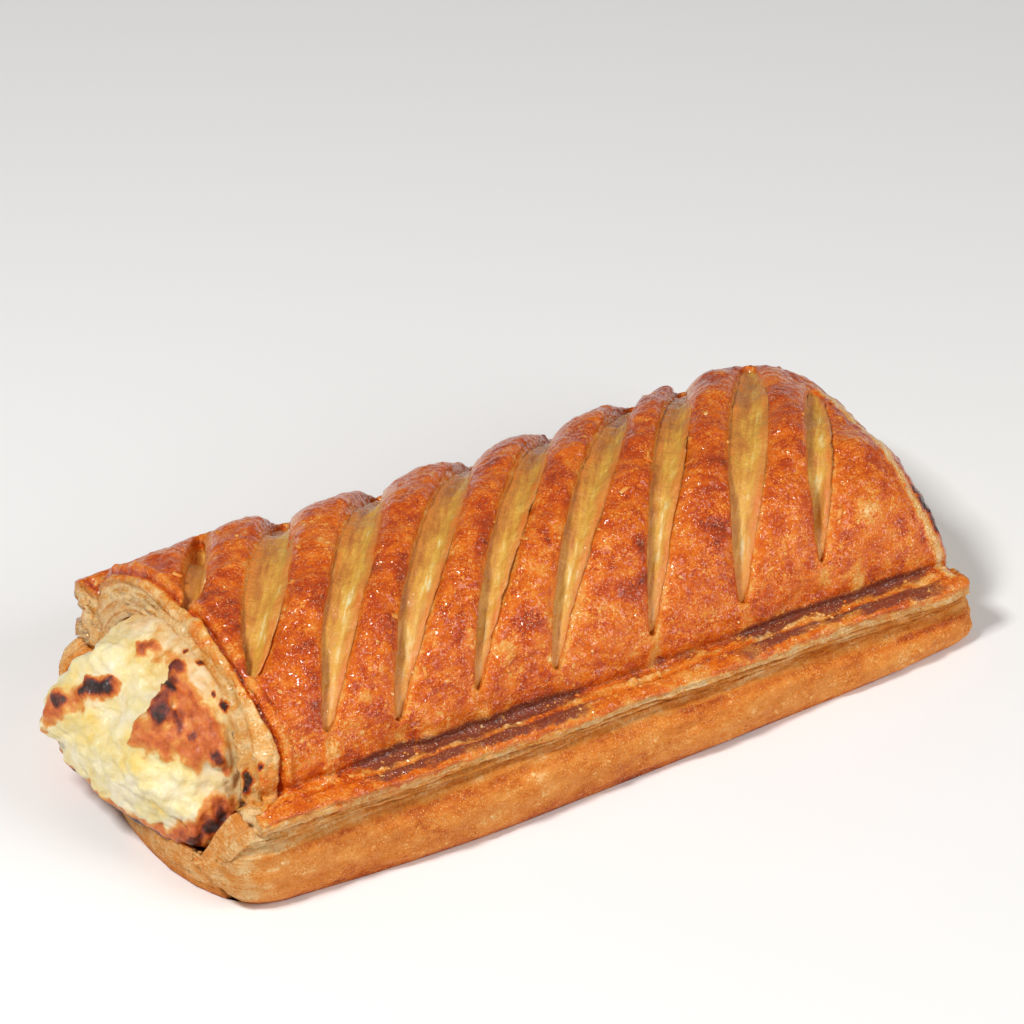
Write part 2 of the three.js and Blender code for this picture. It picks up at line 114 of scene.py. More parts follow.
# A stroke of toasting from one point to another: radius, how dark (1 is burnt), and how far
# the toasted skin stands up.
Toast = namedtuple("Toast", "start end radius dark lift")
TOASTS = [
    # the tongue's crisp edge, with its burnt streak
    Toast((-77.0, 9.0, 20.2), (-75.6, 11.0, 16.0), 2.2, 0.5, 0.2),
    Toast((-76.0, 9.2, 20.8), (-70.0, 3.6, 25.2), 2.4, 0.45, 0.3),
    Toast((-75.5, 9.1, 21.2), (-73.8, 7.6, 22.4), 1.0, 0.95, 0.6),
    Toast((-71.6, 5.7, 24.1), (-69.2, 2.6, 25.7), 1.3, 1.0, 1.0),
    # the torn flap: orange skin with a dark ridge and darker corners
    Toast((-62.4, -9.0, 29.4), (-61.6, -17.4, 25.2), 3.0, 0.5, 0.9),
    Toast((-69.6, -10.2, 25.0), (-61.8, -18.2, 24.6), 2.5, 0.48, 1.0),
    Toast((-60.4, -5.2, 29.3), (-63.3, -8.1, 28.9), 1.5, 0.86, 1.4),
    Toast((-63.6, -8.3, 28.8), (-66.8, -10.2, 27.2), 1.7, 0.96, 2.0),
    Toast((-66.0, -10.6, 26.6), (-64.0, -12.2, 26.6), 1.3, 0.72, 0.6),
    Toast((-62.9, -14.6, 25.3), (-61.9, -15.6, 24.4), 1.0, 0.76, 0.2),
    Toast((-61.6, -18.8, 23.8), (-60.8, -20.4, 22.4), 1.3, 0.84, 0.4),
    # the small golden patch at the top
    Toast((-62.6, 2.9, 29.5), (-60.4, 0.9, 29.5), 1.5, 0.6, 0.4),
    Toast((-61.6, 1.4, 29.5), (-61.0, 1.0, 29.5), 0.7, 0.85, 0.4),
    Toast((-61.0, -0.5, 29.3), (-59.0, -3.5, 29.0), 2.4, 0.32, 0.2),
    # the burnt lump at the front
    Toast((-67.5, -19.6, 9.6), (-62.4, -21.4, 14.4), 3.6, 0.6, 1.0),
    Toast((-66.4, -20.6, 10.4), (-63.2, -21.6, 13.4), 1.8, 0.92, 0.7),
]
# Small burnt specks on the opened layers of the mouth and on the right end: place and radius.
SPECKS = [
    ((-58.0, -3.1, 32.4), 0.7),
    ((-57.4, -6.9, 32.4), 1.1),
    ((-58.5, -13.0, 30.4), 0.6),
    ((-57.7, -15.2, 29.2), 1.2),
    ((-58.8, -24.4, 20.9), 1.5),
    ((-57.3, -26.0, 24.8), 0.6),
    ((75.0, -24.3, 20.0), 1.6),
    ((74.7, -21.8, 22.4), 1.8),
    ((74.4, -19.6, 24.2), 1.2),
    ((74.0, -8.0, 28.2), 0.9),
    ((66.8, 1.6, 30.9), 0.6),
    ((67.9, 1.4, 30.6), 0.7),
    ((69.0, 1.2, 30.4), 0.6),
    ((70.1, 1.0, 30.2), 0.5),
    ((75.4, -4.5, 24.0), 1.5),
    ((75.3, 0.5, 24.3), 1.2),
    ((75.6, -15.0, 22.4), 0.7),
    ((75.2, 11.0, 23.0), 1.0),
]
# Where the groove along the lid's border is scorched: from, to and how dark.
SCORCHES = [(-58, -40, 0.25), (-40, 0, 1.0), (0, 32, 0.35), (32, 72, 0.9)]
# Yellow crumbly patches on the crust: x, y and radius.
CRUMB_PATCHES = [
    (-27.6, -26.9, 1.5),
    (-33.8, -21.4, 1.3),
    (-37.0, -23.9, 1.0),
    (-10.0, -23.7, 1.2),
    (-13.5, -30.3, 1.4),
    (36.9, -30.2, 2.6),
    (25.0, -28.4, 1.2),
    (57.2, -27.6, 1.5),
    (41.8, -29.2, 1.6),
    (11.0, -30.4, 1.3),
    (-46.0, -28.0, 1.2),
    (62.0, -22.0, 1.3),
    (20.0, 24.5, 1.6),
    (-20.0, 27.0, 1.8),
    (48.0, 28.5, 1.6),
]
# A crease runs across the lid inside its left end: y and how far in it lies.
CREASE = [
    (-31, 0.2),
    (-28, 3.3),
    (-26, 4.0),
    (-22, 2.2),
    (-17, 1.2),
    (-12, 1.2),
    (-4, 1.9),
    (8, 1.1),
    (33, 0.4),
]
# Soft mounds of the burst cheese, and hollows, whose height is below 0: centre, radius, height.
MOUNDS = [
    ((-66.6, 8.7, 26.8), 4.2, 1.9),
    ((-61.8, 6.5, 29.5), 3.0, 1.0),
    ((-69.8, 11.0, 22.0), 3.0, 1.0),
    ((-70.5, -1.0, 24.5), 3.6, -1.4),
    ((-65.0, -0.5, 28.6), 2.6, -0.9),
    ((-72.8, -5.0, 19.0), 4.0, 0.6),
    ((-66.5, -17.2, 19.0), 2.6, 1.0),
    ((-69.3, -14.4, 17.4), 2.3, 0.9),
    ((-66.8, -19.4, 15.4), 1.8, 0.8),
    ((-71.2, -11.5, 15.0), 2.2, 0.5),
    ((-68.9, -17.4, 12.2), 1.8, 0.6),
]


def srgb(red, green, blue):
    """A colour on the 0-255 scale as the linear values that sockets take."""
    return tuple(
        c / 3294.6 if c <= 10.3 else ((c / 255 + 0.055) / 1.055) ** 2.4 for c in (red, green, blue)
    )


# ---- Small maths -------------------------------------------------------------------------


def clamp(v, low=0.0, high=1.0):
    return min(high, max(low, v))


def mix(a, b, t):
    return a + (b - a) * t


def smooth(low, high, v):
    t = clamp((v - low) / (high - low))
    return t * t * (3 - 2 * t)


def through(table, v):
    """The value at v on straight lines through a table of (place, value)."""
    for (a, low), (b, high) in zip(table, table[1:]):
        if v <= b:
            return mix(low, high, clamp((v - a) / (b - a)))
    return table[-1][1]


def hump(v, middle, width):
    return math.exp(-(((v - middle) / width) ** 2))


def along_length(values, x):
    """A smooth curve through values spaced evenly from the left end to the right end."""
    last = len(values) - 1
    s = clamp((x - LEFT) / (RIGHT - LEFT)) * last
    i = min(int(s), last - 1)
    t = s - i
    slope0 = (values[i + 1] - values[max(i - 1, 0)]) / 2
    slope1 = (values[min(i + 2, last)] - values[i]) / 2
    rise = values[i + 1] - values[i]
    square = 3 * rise - 2 * slope0 - slope1
    cube = slope0 + slope1 - 2 * rise
    return values[i] + t * (slope0 + t * (square + t * cube))


def uneven(x, y, size):
    """Soft unevenness of baked dough, between -1 and 1."""
    return (
        math.sin((x + 1.7 * y) / size + 2 * math.sin(0.6 * y / size))
        + math.sin((1.3 * y - 0.8 * x) / size + 1.5 * math.sin(0.7 * x / size + 1))
    ) / 2


def rough(x, y, z, size):
    """Smooth random unevenness with features of that size in millimetres."""
    return noise.noise(Vector((x / size, y / size, z / size)))


def blister(x, y, z, spacing, radius, share):
    """Height, from 0 to 1, of scattered round blisters."""
    near, cells = noise.voronoi(Vector((x / spacing, y / spacing, z / spacing)))
    if noise.noise(cells[0] * 7.7) < 1 - 2 * share:
        return 0.0
    return max(0.0, 1 - (near[0] * spacing / radius) ** 2)


# ---- Forms shared by the pieces ----------------------------------------------------------


def seam_height(x, y):
    return mix(
        along_length(FRONT_SEAM, x), along_length(BACK_SEAM, x), clamp(y / HALF_WIDTH / 2 + 0.5)
    )


def left_end(y):
    r = abs(clamp(y / HALF_WIDTH, -1, 1))
    return LEFT + END_PULL * (1 - r ** (5 if y < 0 else 2)) + BACK_PULL * smooth(0, HALF_WIDTH, y)


def right_end(y):
    return RIGHT - RIGHT_PULL * (1 - abs(clamp(y / HALF_WIDTH, -1, 1)) ** 4)


def arch(x, r):
    return (1 - clamp(r) ** along_length(BOXINESS, x)) ** (1 / 1.6)


def crown_height(x):
    drop = clamp((x - RIGHT + DROP_LENGTH) / DROP_LENGTH) ** 2.2
    return along_length(CROWN, x) - RIGHT_DROP * drop


def foot_height(x, y):
    return along_length(FRONT_FOOT if y < 0 else BACK_FOOT, x)


def inner_height(x, y):
    rise = arch(x, abs(y) / (DOME_HALF - FOOT_INSET))
    thick = LID_THICK + END_THICK * (1 - smooth(0, END_LAYERS, x - left_end(y)))
    return mix(seam_height(x, y), crown_height(x) - thick, rise)


def slit_opening(slit, y):
    """Half the width of a slit at y: a long lens with blunt tips."""
    v = (y - (slit.front + slit.back) / 2) / ((slit.back - slit.front) / 2)
    return 0.0 if abs(v) >= 1 else slit.gape * (1 - 0.3 * v * v) * (1 - v * v) ** 0.3


def slit_line(slit, y):
    """x of a slit's middle at y, carried on past its tips."""
    tip = clamp(y, slit.front, slit.back)
    centre = slit.x + slit.slant * tip
    if tip == y:
        return centre
    share = (centre - left_end(tip)) / (right_end(tip) - left_end(tip))
    even = (SLITS.index(slit) + 1) / (len(SLITS) + 1)
    spread = 0.3 * (smooth(16, HALF_WIDTH, abs(y)) - smooth(16, HALF_WIDTH, abs(tip)))
    return mix(left_end(y), right_end(y), mix(share, even, spread))


# ---- Shells: a grid, its holes cut out, extruded to a second skin and merged --------------

GRID_MARKS = ("col", "row", "depth")  # what each vertex of a shell knows of its grid
MERGE_WITHIN = 0.004  # vertices closer than this become one


def make_shell(columns, rows, outside, inside, is_open=None, wall_cuts=0):
    """A closed bmesh between two skins. Its vertices know their column, row and depth."""
    bm = bmesh.new()
    bmesh.ops.create_grid(bm, x_segments=len(columns) - 1, y_segments=len(rows) - 1, size=1)
    for mark in GRID_MARKS:
        bm.verts.layers.float.new(mark)
    col, row, depth = (bm.verts.layers.float[mark] for mark in GRID_MARKS)
    for v in bm.verts:
        v[col] = round((v.co.x + 1) / 2 * (len(columns) - 1))
        v[row] = round((v.co.y + 1) / 2 * (len(rows) - 1))
    if is_open:
        holes = []
        for f in bm.faces:
            i = int(min(v[col] for v in f.verts))
            j = int(min(v[row] for v in f.verts))
            if is_open(columns[i], columns[i + 1], rows[j], rows[j + 1]):
                holes.append(f)
        bmesh.ops.delete(bm, geom=holes, context="FACES")
    copy = bmesh.ops.extrude_face_region(bm, geom=bm.faces[:], use_keep_orig=True)
    for part in copy["geom"]:
        if isinstance(part, bmesh.types.BMVert):
            part[depth] = 1
    for v in bm.verts:
        skin = inside if v[depth] else outside
        v.co = skin(columns[int(v[col])], rows[int(v[row])])
    bmesh.ops.remove_doubles(bm, verts=bm.verts, dist=MERGE_WITHIN)
    if wall_cuts:
        walls = [
            e
            for e in bm.edges
            if abs(e.verts[0][depth] - e.verts[1][depth]) == 1 and e.calc_length() > 1
        ]
        bmesh.ops.subdivide_edges(bm, edges=walls, cuts=wall_cuts, use_grid_fill=True)
    bmesh.ops.recalc_face_normals(bm, faces=bm.faces)
    return bm


def grid_place(v, layers):
    """(column, row, depth) of a vertex in its shell."""
    column, row = layers["columns"][int(v[layers["col"]])], layers["rows"][int(v[layers["row"]])]
    return column, row, v[layers["depth"]]


def add_relief(bm, relief):
    """Moves each vertex along its normal by relief(vertex), all measured before any moves."""
    bm.normal_update()
    moves = [v.normal * relief(v) for v in bm.verts]
    for v, move in zip(bm.verts, moves):
        v.co += move


def finish_piece(bm, name, material, node=None):
    """Turns a bmesh in millimetres into a piece that rides on the pastry."""
    bmesh.ops.scale(bm, vec=(MM, MM, MM), verts=bm.verts)
    mesh = bpy.data.meshes.new(name)
    bm.to_mesh(mesh)
    bm.free()
    mesh.shade_smooth()
    mesh.materials.append(material)
    piece = bpy.data.objects.new(name, mesh)
    bpy.context.collection.objects.link(piece)
    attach(piece, "root")
    if node:
        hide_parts(node)
    return piece


# ---- Lid ---------------------------------------------------------------------------------

Column = namedtuple("Column", "band share")
Row = namedtuple("Row", "part side f y")

STRIP_COLUMNS, LIP_ROWS, BORDER_ROWS, DOME_ROWS = 23, 16, 10, 112
INNER_ROLL = 1.6  # how far the lid's inner layers stand out of its left end


def lid_columns():
    shares = [(1 - math.cos(math.pi * k / STRIP_COLUMNS)) / 2 for k in range(STRIP_COLUMNS + 1)]
    return [
        Column(band, mix(k / STRIP_COLUMNS, s, 0.5))
        for band in range(len(SLITS) + 1)
        for k, s in enumerate(shares)
    ]


def lid_rows():
    front = [Row("lip", -1, k / (LIP_ROWS - 1), -HALF_WIDTH) for k in range(LIP_ROWS)]
    for k in range(1, BORDER_ROWS + 1):
        f = k / (BORDER_ROWS + 1)
        front.append(Row("border", -1, f, -mix(BORDER_TOP, DOME_HALF, f)))
    back = [Row(r.part, 1, r.f, -r.y) for r in reversed(front)]
    dome = [
        Row("dome", 0, 0, DOME_HALF * math.sin(math.pi * (k / DOME_ROWS - 0.5)))
        for k in range(DOME_ROWS + 1)
    ]
    return front + dome + back


def column_x(column, y, left_wall=1.0, right_wall=1.0):
    """x of a column at y, where the walls of the slits stand at shares of their half width."""
    band, share = column
    start, end = left_end(y), right_end(y)
    if band > 0:
        start = slit_line(SLITS[band - 1], y) + right_wall * slit_opening(SLITS[band - 1], y)
    if band < len(SLITS):
        end = slit_line(SLITS[band], y) - left_wall * slit_opening(SLITS[band], y)
    return mix(start, end, share)


def edge_sag(column, y):
    """How far a strip of dough sags at a column: softly at its left edge, sharply at its right."""
    band, share = column
    sag = 0.0
    if band > 0:
        sag += 1.6 * clamp(slit_opening(SLITS[band - 1], y) / 1.5) * (1 - share) ** 5
    if band < len(SLITS):
        sag += 0.6 * clamp(slit_opening(SLITS[band], y) / 1.5) * share**18
    return sag


def end_rounding(x, y):
    """How far the lid's top surface rolls down at its left and right ends."""
    near = min(x - left_end(y), right_end(y) - x)
    return 1.3 * (1 - math.sqrt(1 - (1 - clamp(near / 2.2)) ** 2))


def lid_outside(column, row):
    y = row.y
    x = column_x(column, y)
    foot = foot_height(x, y)
    if row.part == "dome":
        top = mix(foot, crown_height(x), arch(x, abs(y) / DOME_HALF))
        inner = 1 - abs(y / DOME_HALF) ** 4
        puff = 0.5 * abs(2 * column.share - 1) ** 3 * smooth(DOME_HALF, 20, abs(y))
        sag = edge_sag(column, y) + puff - 0.4 * uneven(x, y, 5) * inner + end_rounding(x, y)
        return Vector((x, y, top - sag))
    if row.part == "border":
        crease = 0.9 * math.sin(math.pi * row.f) * smooth(0, 1, row.f)
        height = foot - crease + 0.25 * uneven(x, y, 4) - 0.5 * end_rounding(x, y)
        return Vector((x, y, height))
    seam = seam_height(x, y) + 0.2
    angle = math.pi * (row.f - 0.5)
    split = LEAF_SPLIT * (1 - smooth(LEFT, LEAF_SPLIT_END, x)) if row.side > 0 else 0.5
    notch = split * hump(row.f, 0.5, 0.13)
    turned_in = smooth(0.62, 1, row.f) * (HALF_WIDTH - BORDER_TOP)
    wave = 0.5 * uneven(x, row.side * 9, 6)
    out = HALF_WIDTH + math.cos(angle) - notch - turned_in + wave
    return Vector((x, row.side * out, mix(seam, foot, (1 + math.sin(angle)) / 2)))


def lid_inside(column, row):
    if row.part == "dome":
        y = row.y * (DOME_HALF - FOOT_INSET) / DOME_HALF
        x = column_x(column, row.y, SLIT_STEEP, SLIT_SLOPE)
        roll = INNER_ROLL if column == Column(0, 0) else 0
        return Vector((x - roll, y, inner_height(x, y)))
    x = column_x(column, row.y)
    reach = 0.9 * row.f**0.7 if row.part == "lip" else mix(0.9, 0.99, row.f)
    y = row.side * mix(HALF_WIDTH - 0.6, DOME_HALF - FOOT_INSET, reach)
    return Vector((x, y, seam_height(x, y)))


def is_slit(column_a, column_b, row_a, row_b):
    """The cell between two bands is a slit, and open wherever that slit gapes."""
    if column_a.band == column_b.band:
        return False
    slit = SLITS[column_a.band]
    return any(r.part == "dome" and slit_opening(slit, r.y) > 0 for r in (row_a, row_b))


def flake_step(x, y, z):
    """Edges of thin flakes lying on the crust, from 0 to 1."""
    n = noise.fractal(Vector((x / 9, y / 6, z / 9)), 0.9, 2.1, 3)
    return smooth(0.06, 0.12, n) + 0.7 * smooth(-0.24, -0.2, n)


def into_border(x, y, z):
    """How far the lid's skin at a point lies inside the upper edge of its border."""
    out = abs(y)
    if out > DOME_HALF:
        return BORDER_TOP - out
    return BORDER_TOP - out + max(0.0, z - foot_height(x, y))


def patch_at(x, y, z):
    """How much a place on the crust belongs to a crumbly patch."""
    ragged = 0.7 * rough(x, y, z, 1.5) + 0.35 * rough(x, y, z, 0.7)
    return max(
        1 - smooth(radius * 0.5, radius * 1.05, math.hypot((x - px) * 0.8, y - py) + ragged)
        for px, py, radius in CRUMB_PATCHES
    )


def lid_relief(v, layers, form):
    """Crags, blisters and flakes on the skin; laminated lines in the walls and the lip."""
    column, row, depth = grid_place(v, layers)
    x, y, z = v.co
    if depth == 1:
        return 0.0
    if depth > 0:
        if column not in (layers["columns"][0], layers["columns"][-1]):
            lines = math.sin(depth * 34 + 3 * rough(x, y, z, 6))
            return math.sin(math.pi * depth) * (0.1 + 0.08 * lines) + 0.08 * rough(x, y, z, 1.4)
        swell = 0.5 * math.sin(math.pi * depth) ** 0.7
        crumbs = 0.8 * rough(x, y, z, 2.1) + 0.7 * rough(x, y, z, 1.1)
        leaves = 0.45 * math.sin(depth * 26 + 2.5 * rough(x, y, z, 4))
        fans = smooth(2, 12, y)
        return swell + mix(crumbs, leaves + 0.5 * crumbs, fans) * smooth(0, 0.15, depth)
    if row.part == "lip":
        lines = math.sin((z - seam_height(x, y)) * 5.2 + 2.5 * rough(x / 3, y, z, 2))
        body = math.sin(math.pi * row.f) ** 0.5
        return body * (0.2 * lines + 0.35 * rough(x, y, z, 2.4) + 0.25 * rough(x, y, z * 2, 1.1))
    near_slit = clamp(edge_sag(column, y) * 0.9)
    soft = 0.5 * rough(x, y, z, 7) + 0.28 * rough(x, y, z, 3.1)
    fine = 0.16 * rough(x, y, z, 1.5)
    wrinkle = 0.16 * rough(x - 0.8 * y, y / 7, z / 7, 1.3)
    bubbles = form.blister_height * PER_METRE * (
        blister(x, y, z, 4.2, 1.3, 0.35) + 0.6 * blister(x + 40, y, z, 2.3, 0.8, 0.4)
    )
    flakes = form.flake_height * PER_METRE * flake_step(x, y, z)
    skin = soft * (1 - 0.5 * near_slit) + (fine + wrinkle + bubbles + flakes) * (1 - near_slit)
    skin += patch_at(x, y, z) * (0.3 + 0.35 * rough(x, y, z, 1.1))
    inward = into_border(x, y, z) + 0.5 * rough(x, y, z, 3) + 0.3 * rough(x, y, z, 1.2)
    skin -= 0.45 * hump(inward, 4.0, 0.7) + 0.3 * hump(inward, 0.9, 0.5)
    skin += (0.15 + 0.4 * rough(x, y, z, 1.1)) * hump(inward, 2.3, 1.0)
    into = x - left_end(y)
    crease = through(CREASE, y)
    skin -= 0.9 * hump(into + 0.25 * rough(x, y, z, 2.5), crease, 0.42)
    skin += 0.45 * hump(into, crease + 1.3, 0.8)
    if into < crease:
        skin += 0.45 * rough(x, y, z, 1.9) + 0.35 * rough(x, y, z, 0.95) + 0.2
    return skin


def scorch(x):
    return sum(
        dark * smooth(start - 4, start + 4, x) * (1 - smooth(end - 4, end + 4, x))
        for start, end, dark in SCORCHES
    )


def specks_at(p):
    """How burnt the small specks make the dough at a point."""
    darkest = 0.0
    for centre, radius in SPECKS:
        gap = p - Vector(centre)
        gap.z *= 0.5
        darkest = max(darkest, 1 - smooth(radius * 0.5, radius, gap.length + 0.3 * rough(*p, 0.8)))
    return darkest


def lid_paint(v, layers):
    """(how baked, how much it is a cut face, place across the layers, how scorched)."""
    column, row, depth = grid_place(v, layers)
    x, y, z = v.co
    patchy = 0.5 * rough(x, y, z, 9) + 0.4 * rough(x, y, z, 4) + 0.25 * rough(x, y, z, 2)
    if depth > 0:
        if column in (layers["columns"][0], layers["columns"][-1]):
            rim = 0.26 * (1 - smooth(0.0, 0.14, depth)) if y > 4 or x > 0 else 0.0
            tips = 0.16 * smooth(0.2, 0.7, math.sin(depth * 26 + 2.5 * rough(x, y, z, 4)))
            fans = smooth(2, 12, y)
            baked = mix(0.15 + 0.32 * patchy, 0.05 + 0.18 * patchy + tips, fans) + rim
            return clamp(baked + 0.8 * specks_at(v.co)), mix(0.45, 0.7, fans), depth * 7, 0.0
        # The cut walls darken towards the back and deeper into the dough: partly the dough's own
        # tan, partly painted shade.
        back = smooth(-4, 16, y)
        wall = 0.27 + 0.1 * back + 0.14 * smooth(0.5, 1, depth)
        edge = 0.12 * (1 - smooth(0, 0.3, depth))
        return clamp(wall + edge + 0.1 * patchy), 0.3, depth * 4, 0.0
    if row.part == "lip":
        ragged = row.f + 0.12 * rough(x / 2, y, z, 2.5) + 0.06 * rough(x, y, z, 1.1)
        lower = smooth(0.62, 0.46, ragged)
        browned = mix(0.4, 0.2, lower) + 0.24 * patchy
        streak = scorch(x) * smooth(0.72, 0.86, ragged) * (0.9 + 0.5 * rough(x, y, z, 3))
        return clamp(browned + 0.8 * specks_at(v.co)), 0.2 + 0.7 * lower, z, clamp(streak)
    share = column.share
    sag = edge_sag(column, y)
    left_light = 0.17 * clamp(sag) * (1 - share) ** 10 if share < 0.5 else 0.04 * clamp(sag)
    tip = min(math.hypot(x - slit_line(s, s.front), y - s.front + 0.6) for s in SLITS)
    left_light += 0.14 * (1 - smooth(0.6, 2.0, tip + 0.8 * rough(x, y, z, 1.6)))
    dark_side = smooth(0.4, 0.85, share) * smooth(24, 30, z) * smooth(-2, -14, y)
    dark_spots = smooth(0.0, 0.4, rough(x, y, z, 6) + 0.5 * rough(x, y, z, 2.5))
    baked = 0.465 + 0.17 * patchy + 0.03 * smooth(26, 37, z) - left_light
    baked += (0.09 * dark_spots + 0.13 * dark_side * dark_spots) * (1 - clamp(sag))
    ragged = 0.8 * rough(x, y, z, 3.5) + 0.4 * rough(x, y, z, 1.3)
    inward = into_border(x, y, z) + 0.7 * ragged
    baked -= 0.16 * hump(inward, 1.9, 0.8)
    streak = hump(inward, 3.7, 1.8) + 0.9 * hump(inward, 0.3, 0.7)
    scorched = clamp(scorch(x) * streak * (1.35 + ragged))
    baked -= 0.17 * patch_at(x, y, z)
    into = x - left_end(y)
    crease = through(CREASE, y)
    ring = 1 - smooth(crease - 0.5, crease + 0.5, into + 0.2 * ragged)
    baked = mix(baked, 0.22 + 0.4 * patchy, ring)
    baked += 0.3 * hump(into + 0.2 * ragged, crease, 0.3) - 0.1 * hump(into, crease + 1.2, 0.6)
    to_end = right_end(y) - x + 0.3 * ragged
    to_end -= 1.8 * smooth(12, 26, z)
    cut_edge = smooth(0.5, 0.9, to_end) * (1 - smooth(2.1, 2.7, to_end)) * smooth(12, 2, y)
    baked = mix(baked, 0.15, cut_edge) + 0.14 * hump(to_end, 3.1, 0.5)
    return clamp(baked + 0.9 * specks_at(v.co)), max(0.2 * ring, 0.6 * cut_edge), z, scorched


# ---- Tray --------------------------------------------------------------------------------

TRAY_COLUMNS, SIDE_ROWS, FLOOR_ROWS = 190, 34, 30
LEFT_CORNER, RIGHT_CORNER = 5, 2.2  # how far the cut corners of the tray draw in
LEFT_LIP = 5.0  # how far the tray turns up under the burst cheese


def tray_left(y):
    bent = y - BOW_MIDDLE * (1 - (y / HALF_WIDTH) ** 2)
    bow = max(0, 1 - (bent / HALF_WIDTH) ** 2) ** 0.75
    return LEFT + 1 - BOW_LEFT * bow - BACK_FLARE * smooth(8, HALF_WIDTH, y)


def tray_right(y):
    return RIGHT + RIGHT_LEDGE + BOW_RIGHT * (1 - (y / HALF_WIDTH) ** 2)


def rim_height(x, y):
    return mix(seam_height(x, y) - DOUGH_GAP, CORNER_HEIGHT, smooth(LEFT, LEFT - 7, x))


def side_profile(f, x, seam):
    """(how far the tray's side stands out, height) from its upper edge, f 0, to the ground."""
    side = min(along_length(SIDE_HEIGHT, x), seam - 2.4)
    belly = along_length(BELLY, x)
    stations = [
        (-0.9, seam + 0.3),
        (0.1, mix(side, seam, 0.78)),
        (-1.0, mix(side, seam, 0.42)),
        (0.3 * belly, side),
        (0.75 * belly + 0.3, 0.85 * side),
        (belly + 0.3, 0.55 * side),
        (belly, 0.2 * side),
        (belly - 1.1, 0),
    ]
    s = f * (len(stations) - 1)
    i = min(int(s), len(stations) - 2)
    t = smooth(0, 1, s - i) if i in (0, 1, 2) else s - i
    return tuple(mix(a, b, t) for a, b in zip(stations[i], stations[i + 1]))


def tray_rows():
    front = [Row("side", -1, k / (SIDE_ROWS - 1), -HALF_WIDTH) for k in range(SIDE_ROWS)]
    back = [Row("side", 1, r.f, HALF_WIDTH) for r in reversed(front)]
    floor = [
        Row("floor", 0, math.sin(math.pi * (k / FLOOR_ROWS - 0.5)), 0)
        for k in range(1, FLOOR_ROWS)
    ]
    return front + floor + back


def left_lip(x, y):
    return LEFT_LIP * (1 - smooth(0, 7, x - tray_left(y)))


def tray_ends(side):
    """Both ends of the tray's side, where its rounded corners reach them."""
    left = tray_left(side * (HALF_WIDTH - LEFT_CORNER))
    return left, tray_right(side * (HALF_WIDTH - RIGHT_CORNER))


def corner_rounding(x, side):
    """How far the tray's side draws in near its cut ends."""
    return sum(
        corner * (1 - math.sqrt(1 - (1 - clamp(abs(x - end) / corner / 1.8)) ** 2))
        for corner, end in zip((LEFT_CORNER, RIGHT_CORNER), tray_ends(side))
    )


def tray_outside(share, row):
    if row.part == "floor":
        side = -1 if row.f < 0 else 1
        left, right = tray_ends(side)
        x = mix(left, right, share)
        y = row.f * (HALF_WIDTH - 1.1 + along_length(BELLY, x) - corner_rounding(x, side))
        return Vector((mix(tray_left(y) + UNDERCUT, tray_right(y) - UNDERCUT, share), y, 0))
    left, right = tray_ends(row.side)
    x = mix(left, right, share)
    out, z = side_profile(row.f, x, seam_height(x, row.y) - DOUGH_GAP)
    wave = 0.45 * uneven(x, row.side * 5, 7) * (1 - smooth(0.9, 1, row.f))
    under = UNDERCUT * smooth(0.72, 1, row.f)
    out += wave - corner_rounding(x, row.side)
    lower = smooth(0, 1, row.f) * (1 - smooth(LEFT, LEFT - 6, x)) + smooth(LEFT, LEFT - 6, x)
    height = mix(z, min(z, rim_height(x, row.y)), lower)
    return Vector((mix(left + under, right - under, share), row.side * (HALF_WIDTH + out), height))


def tray_inside(share, row):
    wall = HALF_WIDTH - RIM_WIDTH
    if row.part == "floor":
        y = row.f * (wall - 2)
        x = mix(tray_left(y), tray_right(y), share)
        lip = left_lip(x, y)
        return Vector((x + 0.35 * lip, y, FLOOR_THICK + lip))
    left, right = tray_ends(row.side)
    x = mix(left, right, share)
    thick = 2.2 * smooth(LEFT + 4, LEFT - 3, x)
    top = HALF_WIDTH - 3 - corner_rounding(x, row.side) * 0.9
    y = row.side * mix(top, wall - 1.4 - thick, row.f)
    x = mix(mix(left, tray_left(y), row.f), tray_right(y), share)
    floor, lip = smooth(0.72, 1, row.f), left_lip(x, y)
    height = mix(rim_height(x, y), FLOOR_THICK + lip, floor)
    return Vector((x + 0.35 * lip * floor, y, height))


def tray_relief(v, layers, form):
    """A mottled brown side under a band of open layers, and layered cut ends."""
    _, row, depth = grid_place(v, layers)
    x, y, z = v.co
    if depth == 1:
        return 0.25 * rough(x, y, z, 2.5) * smooth(LEFT - 0.5, LEFT - 3, x)
    if depth > 0:
        lines = math.sin(z * 5.5 + 4 * rough(x / 3, y / 3, z, 3))
        crumbs = 0.4 * rough(x, y, z, 1.7) + 0.22 * rough(x, y, z, 0.9)
        return math.sin(math.pi * depth) ** 0.5 * (0.5 + 0.16 * lines + crumbs)
    if row.part == "floor" or row.f > 0.93:
        return 0.0
    band = 1 - smooth(0.36, 0.46, row.f)
    lines = math.sin((z - seam_height(x, y)) * 6.5 + 3 * rough(x / 4, y, z, 2))
    open_layers = 0.2 * lines + 0.25 * rough(x / 2, y, z * 1.6, 1.3)
    mottle = 0.6 * rough(x / 1.6, y, z, 3.4) + 0.3 * rough(x, y, z, 1.5)
    return mix(mottle * (1 - smooth(0.8, 0.93, row.f)), open_layers, band)


